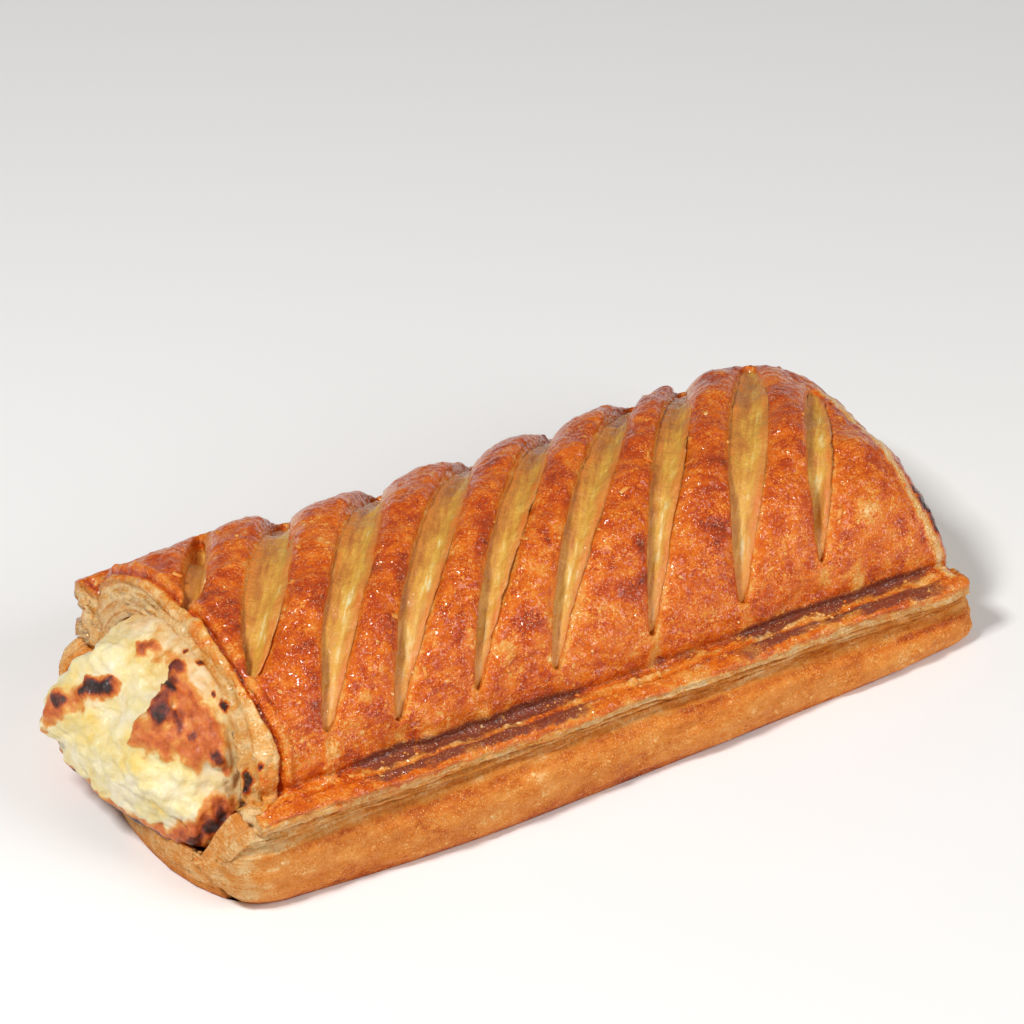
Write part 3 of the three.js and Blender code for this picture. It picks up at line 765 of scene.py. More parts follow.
def tray_paint(v, layers):
    _, row, depth = grid_place(v, layers)
    x, y, z = v.co
    patchy = 0.5 * rough(x / 2, y, z, 6) + 0.4 * rough(x / 1.5, y, z, 2.6)
    if depth > 0:
        inside = 0.22 if depth < 1 else 0.26
        low = 0.2 * (1 - smooth(0.3, 2.6, z))
        return clamp(inside + low + 0.2 * patchy), 0.8, z, 0.0
    if row.part == "floor":
        return clamp(0.62 + 0.2 * patchy), 0.0, z, 0.0
    band = 1 - smooth(0.36, 0.48, row.f + 0.06 * rough(x, y, z, 4))
    lip = 0.1 * hump(row.f, 0.45, 0.05)
    side = 0.47 + 0.14 * smooth(0.8, 1, row.f) - 0.08 * hump(row.f, 0.72, 0.2)
    # Painted light: the side is made paler towards the left corner, which lies in shade.
    left = 0.1 * (1 - smooth(LEFT, LEFT + 14, x))
    baked = mix(side, 0.27, band) + lip - left
    torn = smooth(LEFT + 0.5, LEFT - 2.5, x + 1.5 * patchy)
    return clamp(mix(baked, 0.2, torn) + 0.28 * patchy), mix(band, 0.8, torn), z, 0.0


# ---- Cheese ------------------------------------------------------------------------------

CheeseColumn = namedtuple("CheeseColumn", "kind which share")
CHEESE_ROWS, BURST_RINGS, RIGHT_RINGS, SLIT_COLUMNS, STRIP_STEPS = 116, 84, 14, 13, 4
# How high the skin in a slit lies, as a share of the lid's thickness, across the slit.
SKIN = [(0, 0.42), (0.1, 0.31), (0.4, 0.2), (0.6, 0.27), (0.76, 0.46), (0.86, 0.62), (1, 0.68)]


def even_columns(kind, which, steps):
    return [CheeseColumn(kind, which, k / steps) for k in range(steps + 1)]


def cheese_columns():
    columns = [CheeseColumn("burst", 0, k / BURST_RINGS) for k in range(BURST_RINGS, 0, -1)]
    for band in range(len(SLITS) + 1):
        columns += even_columns("strip", band, STRIP_STEPS)
        if band < len(SLITS):
            columns += even_columns("slit", band, SLIT_COLUMNS)
    return columns + even_columns("burst", 1, RIGHT_RINGS)[1:]


def cheese_rows():
    return [
        CHEESE_HALF * math.sin(math.pi * (k / CHEESE_ROWS - 0.5)) for k in range(CHEESE_ROWS + 1)
    ]


def filling_point(x, y, side):
    """Height of the filling's top (side 1) or bottom (side -1)."""
    edge = max(0.0, 1 - (y / CHEESE_HALF) ** 6) ** 0.5
    waist = mix(FILLING_BOTTOM, seam_height(x, y), 0.45)
    full = inner_height(x, y) - DOUGH_GAP - 0.1 if side > 0 else FILLING_BOTTOM
    return mix(waist, full, edge)


def cheese_point(column, y, side):
    lid_y = clamp(y * DOME_HALF / (DOME_HALF - FOOT_INSET), -DOME_HALF, DOME_HALF)
    if column.kind == "strip":
        band = Column(column.which, column.share)
        x = column_x(band, lid_y, SLIT_STEEP - 0.12, SLIT_SLOPE - 0.12)
        return Vector((x, y, filling_point(x, y, side)))
    if column.kind == "slit":
        slit = SLITS[column.which]
        opening = slit_opening(slit, lid_y)
        if side < 0 or opening == 0:
            x = slit_line(slit, lid_y)
            return Vector((x, y, filling_point(x, y, side)))
        # a skin across the slit that rises to the sagging edge of the strip on its right
        x = slit_line(slit, lid_y) + opening * mix(-1, 1.4, column.share)
        crown = mix(foot_height(x, lid_y), crown_height(x), arch(x, abs(lid_y) / DOME_HALF))
        crown += 0.4 * uneven(x, lid_y, 5) * (1 - abs(lid_y / DOME_HALF) ** 4)
        to_tip = abs(lid_y - (slit.front + slit.back) / 2) / ((slit.back - slit.front) / 2)
        up = mix(through(SKIN, column.share), 0.72, smooth(0.75, 1, to_tip))
        inner, outer = Vector((x, y, inner_height(x, y))), Vector((x, lid_y, crown))
        return inner.lerp(outer, mix(-0.15, up, clamp(opening / 0.6)))
    burst, turn = BURSTS[column.which], column.share
    mouth = left_end(y) if burst.side < 0 else right_end(y)
    v = (y - burst.middle) / (burst.front if y < burst.middle else burst.back)
    angle = math.pi / 2 * turn
    out = burst.reach * math.sqrt(max(0, 1 - v * v)) * math.sin(angle)
    bottom, top = filling_point(mouth, y, -1), filling_point(mouth, y, 1)
    edge = mix(mix(bottom, top, 0.42), burst.level, 0.7 * turn)
    blunt = max(0.0, math.cos(angle)) ** (0.9 if side > 0 else 0.45)
    rise = mix(edge, top if side > 0 else bottom, blunt) - edge
    if burst.side < 0:
        swell = 0.7 * uneven(out * 1.3, y + side * 7, 3.4) * math.sin(2 * angle)
        for lump in LUMPS:
            if side > 0 or turn == 1:
                far = ((y - lump.y) / lump.across) ** 2 + ((turn - lump.turn) / lump.along) ** 2
                swell += lump.height * math.exp(-far)
        out += swell * math.sin(angle) ** 2
        rise += side * swell * math.cos(angle) * smooth(0, 0.25, turn)
        if side > 0:  # it is squeezed up against the opened layers of the lid
            lift = mix(3.0, 1.5, smooth(4, 14, y))
            rise += lift * smooth(0, 1.2, out) * (1 - smooth(2, 8.5, out))
    z = max(edge + rise, FILLING_BOTTOM if side < 0 else 0)
    return Vector((mouth + burst.side * out, y * (1 - 0.1 * turn**2), z))


def toasted(p):
    """(how dark the cheese is toasted at a point, how far the toasted skin stands up)."""
    dark = lift = 0.0
    ragged = 1.3 * rough(*p, 2.2) + 0.5 * rough(*p, 1.1)
    for toast in TOASTS:
        start, end = Vector(toast.start), Vector(toast.end)
        line = end - start
        t = clamp((p - start).dot(line) / line.length_squared)
        gap = p - start - line * t
        gap.z *= 0.5 if start.z > 22 else 1
        off = gap.length + ragged
        dark = max(dark, toast.dark * (1 - smooth(toast.radius * 0.35, toast.radius * 1.3, off)))
        lift = max(lift, toast.lift * (1 - smooth(toast.radius * 0.7, toast.radius * 1.1, off)))
    if p.x < LEFT:
        foot = LEFT_LIP + FLOOR_THICK
        dark = max(dark, 0.45 * (1 - smooth(foot + 0.6, foot + 2.6, p.z + ragged)))
        if -20 < p.y < 7:
            dark = max(dark, 1 - smooth(foot - 0.2, foot + 0.9, p.z + 0.5 * ragged))
    return dark, lift


def cheese_relief(v, layers, form):
    """Soft curds, crumbly in places, and the raised edges of the toasted skin."""
    column, _, _ = grid_place(v, layers)
    x, y, z = v.co
    if column.kind == "slit":
        fibres = 0.3 * rough(x - 0.8 * y, y / 8, z / 8, 0.8) * smooth(0, 0.2, column.share)
        soft = 0.25 * rough(x, y, z, 7) + 0.3 * rough(x, y, z, 3.1) + 0.2 * rough(x, y, z, 1.6)
        return fibres + soft
    if column.kind == "strip":
        return 0.0
    out = smooth(0.02, 0.2, column.share)
    near, _ = noise.voronoi(Vector((x, y, z)) / (form.curd_size * PER_METRE))
    small, _ = noise.voronoi(Vector((x, y, z)) / (form.curd_size * 450))
    lumpy = smooth(-0.25, 0.3, rough(x, y, z, 8) + 0.3 * smooth(26, 16, z))
    curd = (1.3 * (0.5 - near[0]) + 0.7 * (0.5 - small[0])) * lumpy
    crumbs = 0.7 * rough(x, y, z, 2.4) + 0.45 * rough(x, y, z, 1.1)
    near_mouth = abs(x - (left_end(y) if x < 0 else right_end(y)))
    crumbs *= 1 + 0.8 * (1 - smooth(3, 6, near_mouth))
    foot = FLOOR_THICK + LEFT_LIP if x < LEFT else FILLING_BOTTOM
    resting = smooth(FILLING_BOTTOM, FILLING_BOTTOM + 1.5, z)
    resting *= 0.35 + 0.65 * smooth(foot, foot + 2.5, z)
    mounds = sum(h * math.exp(-((v.co - Vector(c)).length_squared) / r**2) for c, r, h in MOUNDS)
    return out * resting * (curd + crumbs + mounds + toasted(v.co)[1])


def cheese_paint(v, layers):
    """(how toasted, how much it is stretched skin, how yellow, how much it is dough crumb)."""
    column, _, _ = grid_place(v, layers)
    x, y, z = v.co
    if column.kind == "burst":
        rich = 0.42 + 0.5 * rough(x, y, z, 6) + 0.3 * rough(x, y, z, 2.5)
        dark = toasted(v.co)[0]
        out = abs(x - (left_end(y) if x < 0 else right_end(y)))
        ragged = 0.9 * rough(x, y, z, 2.2) + 0.5 * rough(x, y, z, 1)
        crumb = 1 - 0.6 * smooth(3.2, 5.4, out + 1.3 * ragged)
        crumb -= 0.4 * smooth(5, 11, out + 2 * ragged)
        crumb *= smooth(10, 16, z) * (0.72 + 0.5 * rough(x, y, z, 1.8))
        return clamp(dark + 0.9 * specks_at(v.co)), 0.0, clamp(rich), clamp(crumb)
    share = column.share + 0.1 * rough(x, y, z, 2)
    rich = 0.42 + 0.34 * hump(share, 0.66, 0.24) + 0.2 * rough(x, y, z, 4)
    # Paler towards the front; darker towards the back, partly the skin's own colour and partly
    # painted shadow.
    rich += 0.04 * smooth(-6, -22, y) - 0.12 * smooth(-10, 14, y)
    crust = max(smooth(0.7, 0.92, share), 0.8 * (1 - smooth(0.06, 0.24, share)))
    crust = max(crust, 0.6 * smooth(-18, -24, y + 2 * rough(x, y, z, 2)))
    return crust, 1.0, clamp(rich), 0.0


# ---- Materials ---------------------------------------------------------------------------


class Nodes:
    """Adds nodes to a material's tree and links them in one call each."""

    def __init__(self, name):
        self.material = bpy.data.materials.new(name)
        self.material.use_nodes = True
        self.tree = self.material.node_tree
        self.surface = self.tree.nodes["Principled BSDF"]

    def add(self, kind, inputs=None, **settings):
        node = self.tree.nodes.new(kind)
        for key, value in settings.items():
            setattr(node, key, value)
        for key, value in (inputs or {}).items():
            self.set(node, key, value)
        return node

    def set(self, node, key, value):
        if isinstance(value, bpy.types.NodeSocket):
            self.tree.links.new(value, node.inputs[key])
        else:
            node.inputs[key].default_value = value

    def look(self, **inputs):
        """Sets the surface's inputs, named with _ for each space."""
        for key, value in inputs.items():
            self.set(self.surface, key.replace("_", " "), value)

    def math(self, operation, a, b):
        return self.add("ShaderNodeMath", {0: a, 1: b}, operation=operation).outputs[0]

    def times(self, a, b):
        return self.math("MULTIPLY", a, b)

    def attribute(self, name):
        return self.add("ShaderNodeAttribute", attribute_name=name).outputs["Fac"]

    def place(self):
        """The place on the piece in millimetres."""
        where = self.add("ShaderNodeTexCoord").outputs["Object"]
        return self.stretched(where, (PER_METRE,) * 3)

    def noise(self, vector, size, detail=4.0, roughness=0.55):
        inputs = {"Vector": vector, "Scale": 1 / size, "Detail": detail, "Roughness": roughness}
        return self.add("ShaderNodeTexNoise", inputs).outputs["Fac"]

    def unevenness(self, vector, size, detail, roughness, strength):
        """Noise around zero."""
        centred = self.math("SUBTRACT", self.noise(vector, size, detail, roughness), 0.5)
        return self.times(centred, strength)

    def total(self, *values):
        sum_so_far = values[0]
        for value in values[1:]:
            sum_so_far = self.math("ADD", sum_so_far, value)
        return sum_so_far

    def warped(self, vector, size, reach):
        """A vector pushed about by noise, by up to this reach in millimetres."""
        inputs = {"Vector": vector, "Scale": 1 / size, "Detail": 0}
        push = self.add("ShaderNodeTexNoise", inputs).outputs["Color"]
        sizes = {0: push, 1: (reach,) * 3}
        far = self.add("ShaderNodeVectorMath", sizes, operation="MULTIPLY").outputs[0]
        return self.add("ShaderNodeVectorMath", {0: vector, 1: far}, operation="ADD").outputs[0]

    def stretched(self, vector, scale):
        return self.add("ShaderNodeMapping", {"Vector": vector, "Scale": scale}).outputs[0]

    def cells(self, vector, size):
        """How far a place is from the middle of the nearest of many scattered cells."""
        inputs = {"Vector": vector, "Scale": 1 / size}
        return self.add("ShaderNodeTexVoronoi", inputs).outputs["Distance"]

    def ramp(self, value, stops):
        node = self.add("ShaderNodeValToRGB", {"Fac": value})
        elements = node.color_ramp.elements
        while len(elements) < len(stops):
            elements.new(0.5)
        for element, (position, colour) in zip(elements, stops):
            element.position = position
            element.color = (*colour[:3], 1)
        return node.outputs["Color"]

    def remap(self, value, low, high, to_low, to_high):
        inputs = {"Value": value, 1: low, 2: high, 3: to_low, 4: to_high}
        return self.add("ShaderNodeMapRange", inputs).outputs[0]

    def mix(self, factor, a, b):
        node = self.add("ShaderNodeMix", data_type="RGBA")
        for key, value in ((0, factor), (6, a), (7, b)):
            self.set(node, key, value)
        return node.outputs[2]

    def bump(self, height, strength, distance, normal=None):
        inputs = {"Height": height, "Strength": strength, "Distance": distance * MM}
        if normal:
            inputs["Normal"] = normal
        return self.add("ShaderNodeBump", inputs).outputs[0]


DOUGH_MARKS = ("baked", "cut", "layer", "scorched")
CHEESE_MARKS = ("toast", "skin", "rich", "crumb")
SLIT_BEARING = 0.68  # radians between the slits and the width of the pastry


def dough_material(name, colours, stops, gloss, coat, contrast):
    """Laminated dough: a ramp from pale to burnt, driven by how baked each place is, with fine
    mottling, pale flecks, thin lines where the layers show, and tiny pale specks that are
    partly painted glints and partly pale flakes."""
    n = Nodes(name)
    here = n.place()
    baked, cut, layer, scorched = (n.attribute(mark) for mark in DOUGH_MARKS)
    skin = n.math("SUBTRACT", 1.0, cut)
    mottle = n.unevenness(here, 2.4, 5, 0.74, 0.57 * contrast)
    patches = n.noise(here, 3.1, 2)
    clusters = n.noise(here, 2.1, 2)
    grain = n.unevenness(here, 0.36, 2, 0.6, 0.6 * contrast)
    grain = n.times(grain, n.remap(patches, 0.38, 0.62, 0.15, 1.2))
    swirl = n.stretched(n.warped(here, 9, 7), (0.16, 1.0, 1.0))
    swirl = n.times(n.unevenness(swirl, 1.5, 3, 0.62, 0.34 * contrast), skin)
    across = n.add(
        "ShaderNodeCombineXYZ",
        {
            "X": n.times(n.noise(here, 7, 1), 1.5),
            "Y": n.times(layer, 3.0),
            "Z": n.noise(here, 8.0, 1),
        },
    ).outputs[0]
    lines = n.times(n.unevenness(across, 1.0, 4, 0.66, 1.0), cut)
    flecks = n.remap(n.cells(here, 1.5), 0.16, 0.32, 1, 0)
    flecks = n.times(flecks, n.remap(patches, 0.48, 0.6, 0, 1))
    dots = n.remap(n.cells(here, 0.62), 0.12, 0.24, 1, 0)
    dots = n.times(dots, n.remap(clusters, 0.5, 0.6, 0, 1))
    flecks, dots = n.times(flecks, skin), n.times(dots, skin)
    shade = n.total(baked, mottle, grain, swirl, n.times(lines, 0.6))
    shade = n.math("SUBTRACT", shade, n.times(flecks, 0.16 * contrast))
    shade = n.math("SUBTRACT", shade, n.times(dots, 0.24 * contrast))
    colour = n.ramp(shade, [(p, getattr(colours, c)) for p, c in stops])
    streak = n.total(scorched, n.times(mottle, 1.3), n.times(grain, 0.8))
    streak = n.math("SUBTRACT", streak, n.times(flecks, 0.5))
    streak = n.math("SUBTRACT", streak, n.times(dots, 0.6))
    streak = n.remap(streak, 0.3, 0.8, 0, 0.95)
    streak = n.times(streak, n.remap(scorched, 0, 0.3, 0, 1))
    browns = [(0.3, colours.browned), (0.7, colours.scorched)]
    colour = n.mix(streak, colour, n.ramp(n.total(0.5, mottle), browns))
    # Painted highlight: tiny pale specks stand in for the egg wash's glints, and partly for real
    # pale flakes.
    glints_and_flakes = n.remap(n.cells(here, 0.42), 0.14, 0.26, 1, 0)
    glints_and_flakes = n.times(glints_and_flakes, n.remap(clusters, 0.48, 0.6, 0.75, 0))
    colour = n.mix(n.times(glints_and_flakes, skin), colour, (*colours.pale_dough, 1))
    spread = n.times(patches, 0.34)
    n.look(Base_Color=colour, Roughness=n.total(spread, gloss, n.times(cut, 0.3)))
    n.look(Specular_IOR_Level=0.12, Coat_Weight=coat, Coat_Roughness=0.07)
    height = n.total(
        n.times(n.noise(here, 1.1, 4, 0.66), n.total(1.0, cut)),
        n.times(lines, 1.2),
        n.times(swirl, 1.5),
    )
    n.look(Normal=n.bump(height, 0.85, 0.55))
    egg_wash = n.total(n.noise(here, 1.5, 0), n.times(n.noise(here, 0.6, 0), 0.3))
    n.look(Coat_Normal=n.bump(egg_wash, 1.0, 0.95))
    return n.material


CRUST_STOPS = [
    (0.06, "pale_dough"),
    (0.24, "golden"),
    (0.41, "orange_crust"),
    (0.59, "deep_crust"),
    (0.8, "browned"),
    (1.0, "burnt"),
]
SIDE_STOPS = [
    (0.04, "pale_dough"),
    (0.26, "tan_dough"),
    (0.46, "side_crust"),
    (0.64, "deep_side"),
    (0.82, "browned"),
    (1.0, "burnt"),
]


def cheese_material(colours):
    """Moist curd cheese, cream to yellow, with toasted and burnt skin, the dough crumb that
    clings to it at the mouth, and the amber skin that is stretched across the slits."""
    n = Nodes("curd_cheese")
    here = n.place()
    toast, skin, rich, crumb = (n.attribute(mark) for mark in CHEESE_MARKS)
    flecks = n.unevenness(here, 1.6, 5, 0.68, 1.0)
    cream = n.ramp(
        n.total(rich, flecks),
        [(0.15, colours.cream), (0.5, colours.soft_curd), (0.85, colours.yellow_curd)],
    )
    dough = n.ramp(
        n.total(0.5, n.times(flecks, 2.4)),
        [(0.1, colours.pale_dough), (0.5, colours.crumb), (0.9, colours.golden)],
    )
    curd = n.mix(crumb, cream, dough)
    edge = n.total(toast, n.times(flecks, 0.8))
    edge = n.times(edge, n.remap(toast, 0.02, 0.2, 0, 1))
    dark = n.ramp(
        edge,
        [
            (0.06, colours.crumb),
            (0.24, colours.golden),
            (0.5, colours.toasted),
            (0.76, colours.browned),
            (0.97, colours.burnt),
        ],
    )
    curd = n.mix(n.remap(edge, 0.05, 0.26, 0, 1), curd, dark)
    turned = {"Vector": here, "Rotation": (0, 0, SLIT_BEARING)}
    along_slit = n.add("ShaderNodeMapping", turned).outputs[0]
    fibres = n.unevenness(n.stretched(along_slit, (1, 0.13, 0.2)), 0.8, 4, 0.7, 1.3)
    amber = n.ramp(
        n.total(rich, fibres),
        [
            (0.1, colours.amber_shade),
            (0.42, colours.amber_skin),
            (0.8, colours.yellow_skin),
            # The palest stop gives pale streaks along the fibres: partly real pale fibres, partly
            # painted highlight.
            (1.0, colours.soft_curd),
        ],
    )
    crust = n.ramp(n.total(0.5, fibres), [(0.2, colours.golden), (0.7, colours.orange_crust)])
    amber = n.mix(toast, amber, crust)
    damp = n.total(n.times(n.noise(here, 1.5, 4), 0.4), 0.26)
    n.look(Base_Color=n.mix(skin, curd, amber), Roughness=damp)
    n.look(Coat_Weight=n.total(0.2, n.times(skin, 0.6)), Coat_Roughness=0.1)
    n.look(Subsurface_Weight=0.22, Subsurface_Scale=1.0)
    n.look(Subsurface_Radius=(0.003, 0.0022, 0.001))
    grain = n.bump(n.noise(here, 1.0, 5, 0.66), 0.7, 0.6)
    curds = n.bump(n.cells(here, 1.1), 0.3, 0.3, grain)
    wet = n.total(n.noise(here, 1.4, 2, 0.5), n.times(fibres, skin))
    n.look(Normal=curds, Coat_Normal=n.bump(wet, 1.0, 0.8))
    return n.material


def crumb_material(colours):
    n = Nodes("crumb")
    here = n.place()
    broad, fine = n.unevenness(here, 3.0, 2, 0.5, 1.6), n.unevenness(here, 0.3, 3, 0.6, 0.6)
    shade = n.total(0.45, broad, fine)
    stops = [(0.1, colours.pale_dough), (0.35, colours.golden), (0.7, colours.orange_crust)]
    n.look(Base_Color=n.ramp(shade, stops))
    n.look(Roughness=n.total(n.times(n.noise(here, 0.4), 0.4), 0.35))
    n.look(Normal=n.bump(n.noise(here, 0.25, 4), 0.5, 0.15))
    return n.material


# ---- Settings ----------------------------------------------------------------------------


def length(name, description, millimetres):
    return FloatProperty(
        name=name, description=description, default=millimetres * MM, min=0, unit="LENGTH"
    )


def colour(name, description, *rgb):
    return FloatVectorProperty(
        name=name, description=description, default=srgb(*rgb), subtype="COLOR", min=0, max=1
    )


class PastryForm(bpy.types.PropertyGroup):
    blister_height: length("Blister height", "How far the crust's blisters stand up", 0.3)
    flake_height: length("Flake height", "Thickness of the thin flakes on the crust", 0.16)
    curd_size: length("Curd size", "Size of the soft lumps in the cheese", 4.2)
    crumb_size: length("Crumb size", "Size of the loose crumbs", 0.8)
    crumb_count: IntProperty(
        name="Crumbs", description="How many loose crumbs lie on the crust", default=130, min=0
    )
    flake_count: IntProperty(
        name="Flakes", description="How many loose flakes cling to the edges", default=26, min=0
    )


class PastryColours(bpy.types.PropertyGroup):
    # Pale dough also colours the tiny crust specks that are partly painted glints.
    pale_dough: colour("Pale dough", "Layers that the oven hardly coloured", 248, 208, 146)
    golden: colour("Golden dough", "Lightly baked dough", 232, 160, 70)
    orange_crust: colour("Orange crust", "The main colour of the lid", 226, 111, 12)
    deep_crust: colour("Deep crust", "Well baked crust", 190, 68, 8)
    browned: colour("Browned", "Dark toasted patches", 132, 46, 16)
    burnt: colour("Burnt", "The darkest spots", 44, 22, 16)
    scorched: colour("Scorched groove", "The dull brown along the lid's border", 128, 72, 58)
    tan_dough: colour("Tan dough", "The layered band of the side", 230, 150, 68)
    side_crust: colour("Side crust", "The main colour of the bottom sheet", 214, 122, 42)
    deep_side: colour("Deep side", "Darker mottling of the bottom sheet", 184, 84, 24)
    cream: colour("Cream curd", "The palest cheese", 250, 236, 202)
    soft_curd: colour("Soft curd", "The main colour of the cheese", 247, 228, 168)
    yellow_curd: colour("Yellow curd", "The richest cheese", 244, 212, 122)
    crumb: colour("Dough crumb", "Pale crumb at the cheese's edge", 234, 184, 118)
    toasted: colour("Toasted cheese", "The orange toasted skin", 212, 104, 36)
    amber_shade: colour("Deep amber", "The skin deep in the slits", 172, 94, 32)
    amber_skin: colour("Amber skin", "The stretched skin in the slits", 206, 132, 46)
    yellow_skin: colour("Yellow skin", "The skin that rises to a slit's edge", 234, 178, 66)


class PastryStage(bpy.types.PropertyGroup):
    key_power: FloatProperty(
        name="Key light", description="Power of the upper light", default=3.0, min=0, unit="POWER"
    )
    fill_power: FloatProperty(
        name="Fill light", description="Power of the front light", default=2.3, min=0, unit="POWER"
    )
    sky: FloatProperty(
        name="Surroundings", description="Strength of the pale surroundings", default=0.2, min=0
    )
    floor: colour("Floor", "Colour of the floor", 246, 245, 243)


# ---- Operators ---------------------------------------------------------------------------

LID_WALL_CUTS, TRAY_WALL_CUTS = 10, 12  # rings of vertices across the thickness of the dough
CRUMB_REACH = HALF_WIDTH - 0.4  # how far from the middle line a crumb can lie
ABOVE, DOWN = 60, Vector((0, 0, -1))  # crumbs and flakes are dropped from this height
FLAKE_THICK, FLAKE_LIFT = 0.1, 0.06
FLOOR_HALF = 4  # half the floor's width, in metres
# The camera: how far it is turned and raised, its distance in metres, its focal length in
# pixels, what it turns about, and how far the middle of the picture is from that.
VIEW_TURN, VIEW_RISE, VIEW_DISTANCE = 31, 38, 0.9
FOCAL_PIXELS, PICTURE_PIXELS, SENSOR = 5364, 1024, 36
VIEW_MIDDLE, VIEW_RIGHT, VIEW_UP = Vector((-1.9, 0, 15)), 6.43, 17.15
# The lights: width and place in metres.
KEY_SIZE, KEY_PLACE = 0.13, (-0.34, -0.06, 0.56)
FRONT_SIZE, FRONT_PLACE = 0.4, (0.3, -0.5, 0.42)


def dress(bm, columns, rows, relief, paint, names, form):
    """Gives a shell its relief, and stores what paint() returns in these attributes."""
    layers = {"columns": columns, "rows": rows}
    for name in names:
        bm.verts.layers.float.new(name)
    for key in GRID_MARKS:
        layers[key] = bm.verts.layers.float[key]
    stores = [bm.verts.layers.float[name] for name in names]
    for v in bm.verts:
        for store, value in zip(stores, paint(v, layers)):
            v[store] = value
    add_relief(bm, lambda v: relief(v, layers, form))
    for key in GRID_MARKS:
        bm.verts.layers.float.remove(bm.verts.layers.float[key])


class PASTRY_OT_top_sheet(bpy.types.Operator):
    """Adds the risen lid with its slits, blisters and layered edges"""

    bl_idname = "pastry.add_top_sheet"
    bl_label = "Add top sheet"

    def execute(self, context):
        colours = context.scene.pastry_colours
        columns, rows = lid_columns(), lid_rows()
        bm = make_shell(columns, rows, lid_outside, lid_inside, is_slit, wall_cuts=LID_WALL_CUTS)
        form = context.scene.pastry_form
        dress(bm, columns, rows, lid_relief, lid_paint, DOUGH_MARKS, form)
        crust = dough_material("browned_crust", colours, CRUST_STOPS, 0.2, 0.7, 1.15)
        finish_piece(bm, "lid_crust", crust, "top_sheet")
        return {"FINISHED"}


class PASTRY_OT_bottom_sheet(bpy.types.Operator):
    """Adds the tray of dough with its mottled side and open layers"""

    bl_idname = "pastry.add_bottom_sheet"
    bl_label = "Add bottom sheet"

    def execute(self, context):
        colours = context.scene.pastry_colours
        rows = tray_rows()
        columns = [
            mix(k / TRAY_COLUMNS, (1 - math.cos(math.pi * k / TRAY_COLUMNS)) / 2, 0.25)
            for k in range(TRAY_COLUMNS + 1)
        ]
        bm = make_shell(columns, rows, tray_outside, tray_inside, wall_cuts=TRAY_WALL_CUTS)
        form = context.scene.pastry_form
        dress(bm, columns, rows, tray_relief, tray_paint, DOUGH_MARKS, form)
        dough = dough_material("baked_dough", colours, SIDE_STOPS, 0.4, 0.12, 1.1)
        finish_piece(bm, "tray_dough", dough, "bottom_sheet")
        return {"FINISHED"}


class PASTRY_OT_cheese(bpy.types.Operator):
    """Adds the cheese with its toasted burst end and the skin in the slits"""

    bl_idname = "pastry.add_cheese"
    bl_label = "Add cheese"

    def execute(self, context):
        columns, rows = cheese_columns(), cheese_rows()
        bm = make_shell(
            columns,
            rows,
            lambda column, y: cheese_point(column, y, 1),
            lambda column, y: cheese_point(column, y, -1),
        )
        form = context.scene.pastry_form
        dress(bm, columns, rows, cheese_relief, cheese_paint, CHEESE_MARKS, form)
        cheese = cheese_material(context.scene.pastry_colours)
        finish_piece(bm, "cheese_curd", cheese, "cheese_filling")
        return {"FINISHED"}


def lying_on(normal, chance):
    """Turns a crumb or flake to lie on a surface, at any angle about its normal."""
    return normal.to_track_quat("Z", "Y").to_matrix() @ Matrix.Rotation(
        chance.uniform(0, 6.3), 3, "Z"
    )


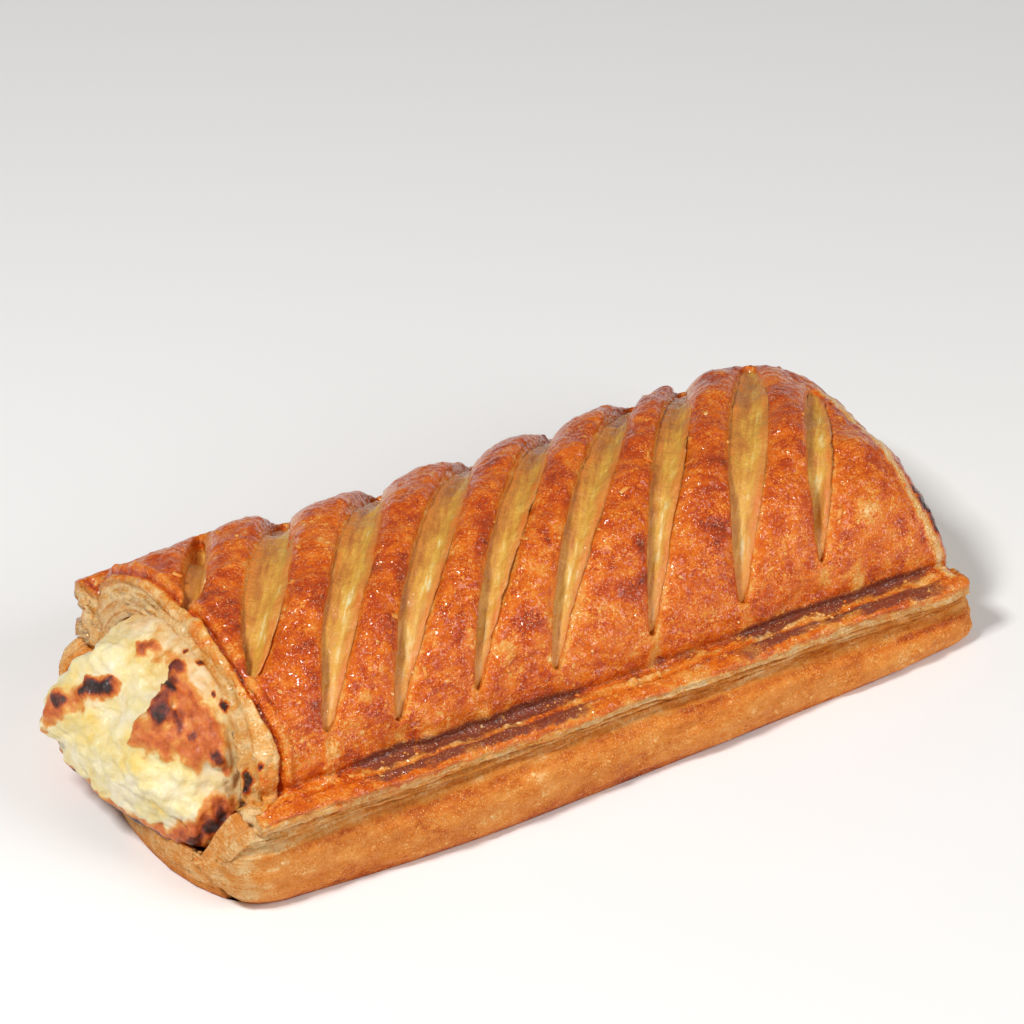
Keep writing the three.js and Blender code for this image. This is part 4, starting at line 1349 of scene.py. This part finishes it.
class PASTRY_OT_crumbs(bpy.types.Operator):
    """Scatters loose crumbs and clinging flakes over the crust"""

    bl_idname = "pastry.add_crumbs"
    bl_label = "Add crumbs"

    def execute(self, context):
        form = context.scene.pastry_form
        crust = bpy.data.objects.get("lid_crust")
        if crust is None:
            raise RuntimeError("The top sheet has to be added before its crumbs")
        corners = [v.co for v in crust.data.vertices]
        tree = BVHTree.FromPolygons(corners, [f.vertices for f in crust.data.polygons])
        chance = random.Random(7)
        bm = bmesh.new()
        for _ in range(form.crumb_count):
            side = -1 if chance.random() < 0.65 else 1
            # on the border, on the slope above it, or anywhere
            spots = [chance.gauss(29.4, 1.6), chance.gauss(25, 4), chance.uniform(2, 30)]
            y = side * chance.choice(spots)
            x = chance.uniform(LEFT + 4, RIGHT - 3)
            y = clamp(y, -CRUMB_REACH, CRUMB_REACH)
            ground = tree.ray_cast(Vector((x, y, ABOVE)) * MM, DOWN)
            size = form.crumb_size * PER_METRE * chance.uniform(0.3, 1.0) * 0.5
            if ground[0] is not None:
                self.crumb(bm, ground[0] / MM, ground[1], size, chance)
        for _ in range(form.flake_count):
            slit = chance.choice(SLITS)
            y = chance.uniform(slit.front + 1, slit.back - 1)
            x = slit_line(slit, y) + slit_opening(slit, y) * chance.choice([-1.3, 1.5, 2.4])
            if chance.random() < 0.4:
                x, y = chance.uniform(LEFT + 5, RIGHT - 3), -chance.gauss(30.5, 1.0)
            ground = tree.ray_cast(Vector((x, y, ABOVE)) * MM, DOWN)
            if ground[0] is not None:
                self.flake(bm, ground[0] / MM, ground[1], chance)
        bmesh.ops.recalc_face_normals(bm, faces=bm.faces)
        crumbs = crumb_material(context.scene.pastry_colours)
        finish_piece(bm, "crumbs", crumbs)
        return {"FINISHED"}

    @staticmethod
    def crumb(bm, place, normal, size, chance):
        """One rough crumb, sunk a little into what it lies on."""
        new = bmesh.ops.create_icosphere(bm, subdivisions=1, radius=size)["verts"]
        seed = Vector((chance.uniform(0, 90), 0, 0))
        for v in new:
            v.co *= 1 + 0.5 * noise.noise(v.co / size * 0.9 + seed)
        spans = ((0.8, 1.5), (0.7, 1.1), (0.5, 0.8))
        flat = Vector([chance.uniform(low, high) for low, high in spans])
        turn = lying_on(normal, chance)
        bmesh.ops.scale(bm, vec=flat, verts=new)
        bmesh.ops.rotate(bm, matrix=turn, verts=new)
        bmesh.ops.translate(bm, vec=place + normal * size * 0.2, verts=new)

    @staticmethod
    def flake(bm, place, normal, chance):
        """One thin curled flake, clinging to the crust."""
        new = bmesh.ops.create_grid(bm, x_segments=4, y_segments=3, size=0.5)["verts"]
        long, wide = chance.uniform(0.9, 2.2), chance.uniform(0.5, 0.9)
        curl, seed = chance.uniform(0.1, 0.35), Vector((chance.uniform(0, 90), 0, 0))
        for v in new:
            ragged = 1 + 0.9 * noise.noise(v.co * 4 + seed)
            u = v.co.x
            v.co = Vector((u * long * ragged, v.co.y * wide * ragged, curl * long * u * u))
        turn = lying_on(normal, chance)
        bmesh.ops.rotate(bm, matrix=turn, verts=new)
        bmesh.ops.translate(bm, vec=place + normal * FLAKE_LIFT, verts=new)
        faces = list({f for v in new for f in v.link_faces})
        bmesh.ops.solidify(bm, geom=faces, thickness=FLAKE_THICK)


class PASTRY_OT_stage(bpy.types.Operator):
    """Adds the floor, the soft lights and the camera"""

    bl_idname = "pastry.add_stage"
    bl_label = "Add stage"

    def execute(self, context):
        scene = context.scene
        stage = scene.pastry_stage
        bm = bmesh.new()
        bmesh.ops.create_grid(bm, x_segments=1, y_segments=1, size=FLOOR_HALF)
        mesh = bpy.data.meshes.new("floor")
        bm.to_mesh(mesh)
        bm.free()
        n = Nodes("floor")
        n.look(Base_Color=(*stage.floor, 1), Roughness=0.9)
        mesh.materials.append(n.material)
        floor = bpy.data.objects.new("floor", mesh)
        scene.collection.objects.link(floor)
        self.light(scene, "key", stage.key_power, KEY_SIZE, KEY_PLACE)
        self.light(scene, "front", stage.fill_power, FRONT_SIZE, FRONT_PLACE)
        scene.world = bpy.data.worlds.new("surroundings")
        scene.world.use_nodes = True
        background = scene.world.node_tree.nodes["Background"]
        background.inputs["Color"].default_value = (1, 1, 1, 1)
        background.inputs["Strength"].default_value = stage.sky
        scene.view_settings.view_transform = "Standard"
        camera = bpy.data.cameras.new("camera")
        camera.lens = SENSOR * FOCAL_PIXELS / PICTURE_PIXELS
        camera.clip_end = 20
        eye = bpy.data.objects.new("camera", camera)
        scene.collection.objects.link(eye)
        turn, rise = math.radians(VIEW_TURN), math.radians(VIEW_RISE)
        right = Vector((math.cos(turn), -math.sin(turn), 0))
        back = Vector((-math.sin(turn), -math.cos(turn), 0)) * math.cos(rise)
        back.z = math.sin(rise)
        up = back.cross(right)
        middle = VIEW_MIDDLE * MM
        aim = middle + (right * VIEW_RIGHT + up * VIEW_UP) * MM
        eye.location = middle + back * VIEW_DISTANCE
        eye.rotation_euler = (eye.location - aim).to_track_quat("Z", "Y").to_euler()
        scene.camera = eye
        return {"FINISHED"}

    @staticmethod
    def light(scene, name, power, size, place):
        lamp = bpy.data.lights.new(name, "AREA")
        lamp.energy = power
        lamp.size = size
        holder = bpy.data.objects.new(name, lamp)
        holder.location = place
        holder.rotation_euler = Vector(place).to_track_quat("Z", "Y").to_euler()
        scene.collection.objects.link(holder)


class PASTRY_PT_panel(bpy.types.Panel):
    """The pastry's settings and pieces"""

    bl_idname = "PASTRY_PT_panel"
    bl_label = "Cheese puff pastry"
    bl_space_type = "VIEW_3D"
    bl_region_type = "UI"
    bl_category = "Pastry"

    def draw(self, context):
        scene = context.scene
        for group in (scene.pastry_form, scene.pastry_colours, scene.pastry_stage):
            box = self.layout.box()
            for name in group.__annotations__:
                box.prop(group, name)
        for operator in OPERATORS:
            self.layout.operator(operator.bl_idname)


GROUPS = (PastryForm, PastryColours, PastryStage)
OPERATORS = (
    PASTRY_OT_bottom_sheet,
    PASTRY_OT_cheese,
    PASTRY_OT_top_sheet,
    PASTRY_OT_crumbs,
    PASTRY_OT_stage,
)


def register():
    for cls in (*GROUPS, *OPERATORS, PASTRY_PT_panel):
        bpy.utils.register_class(cls)
    bpy.types.Scene.pastry_form = PointerProperty(type=PastryForm)
    bpy.types.Scene.pastry_colours = PointerProperty(type=PastryColours)
    bpy.types.Scene.pastry_stage = PointerProperty(type=PastryStage)


def unregister():
    del bpy.types.Scene.pastry_stage
    del bpy.types.Scene.pastry_colours
    del bpy.types.Scene.pastry_form
    for cls in reversed((*GROUPS, *OPERATORS, PASTRY_PT_panel)):
        bpy.utils.unregister_class(cls)


def main():
    register()
    bpy.ops.pastry.add_bottom_sheet()
    bpy.ops.pastry.add_cheese()
    bpy.ops.pastry.add_top_sheet()
    bpy.ops.pastry.add_crumbs()
    bpy.ops.pastry.add_stage()


if __name__ == "__main__":
    main()
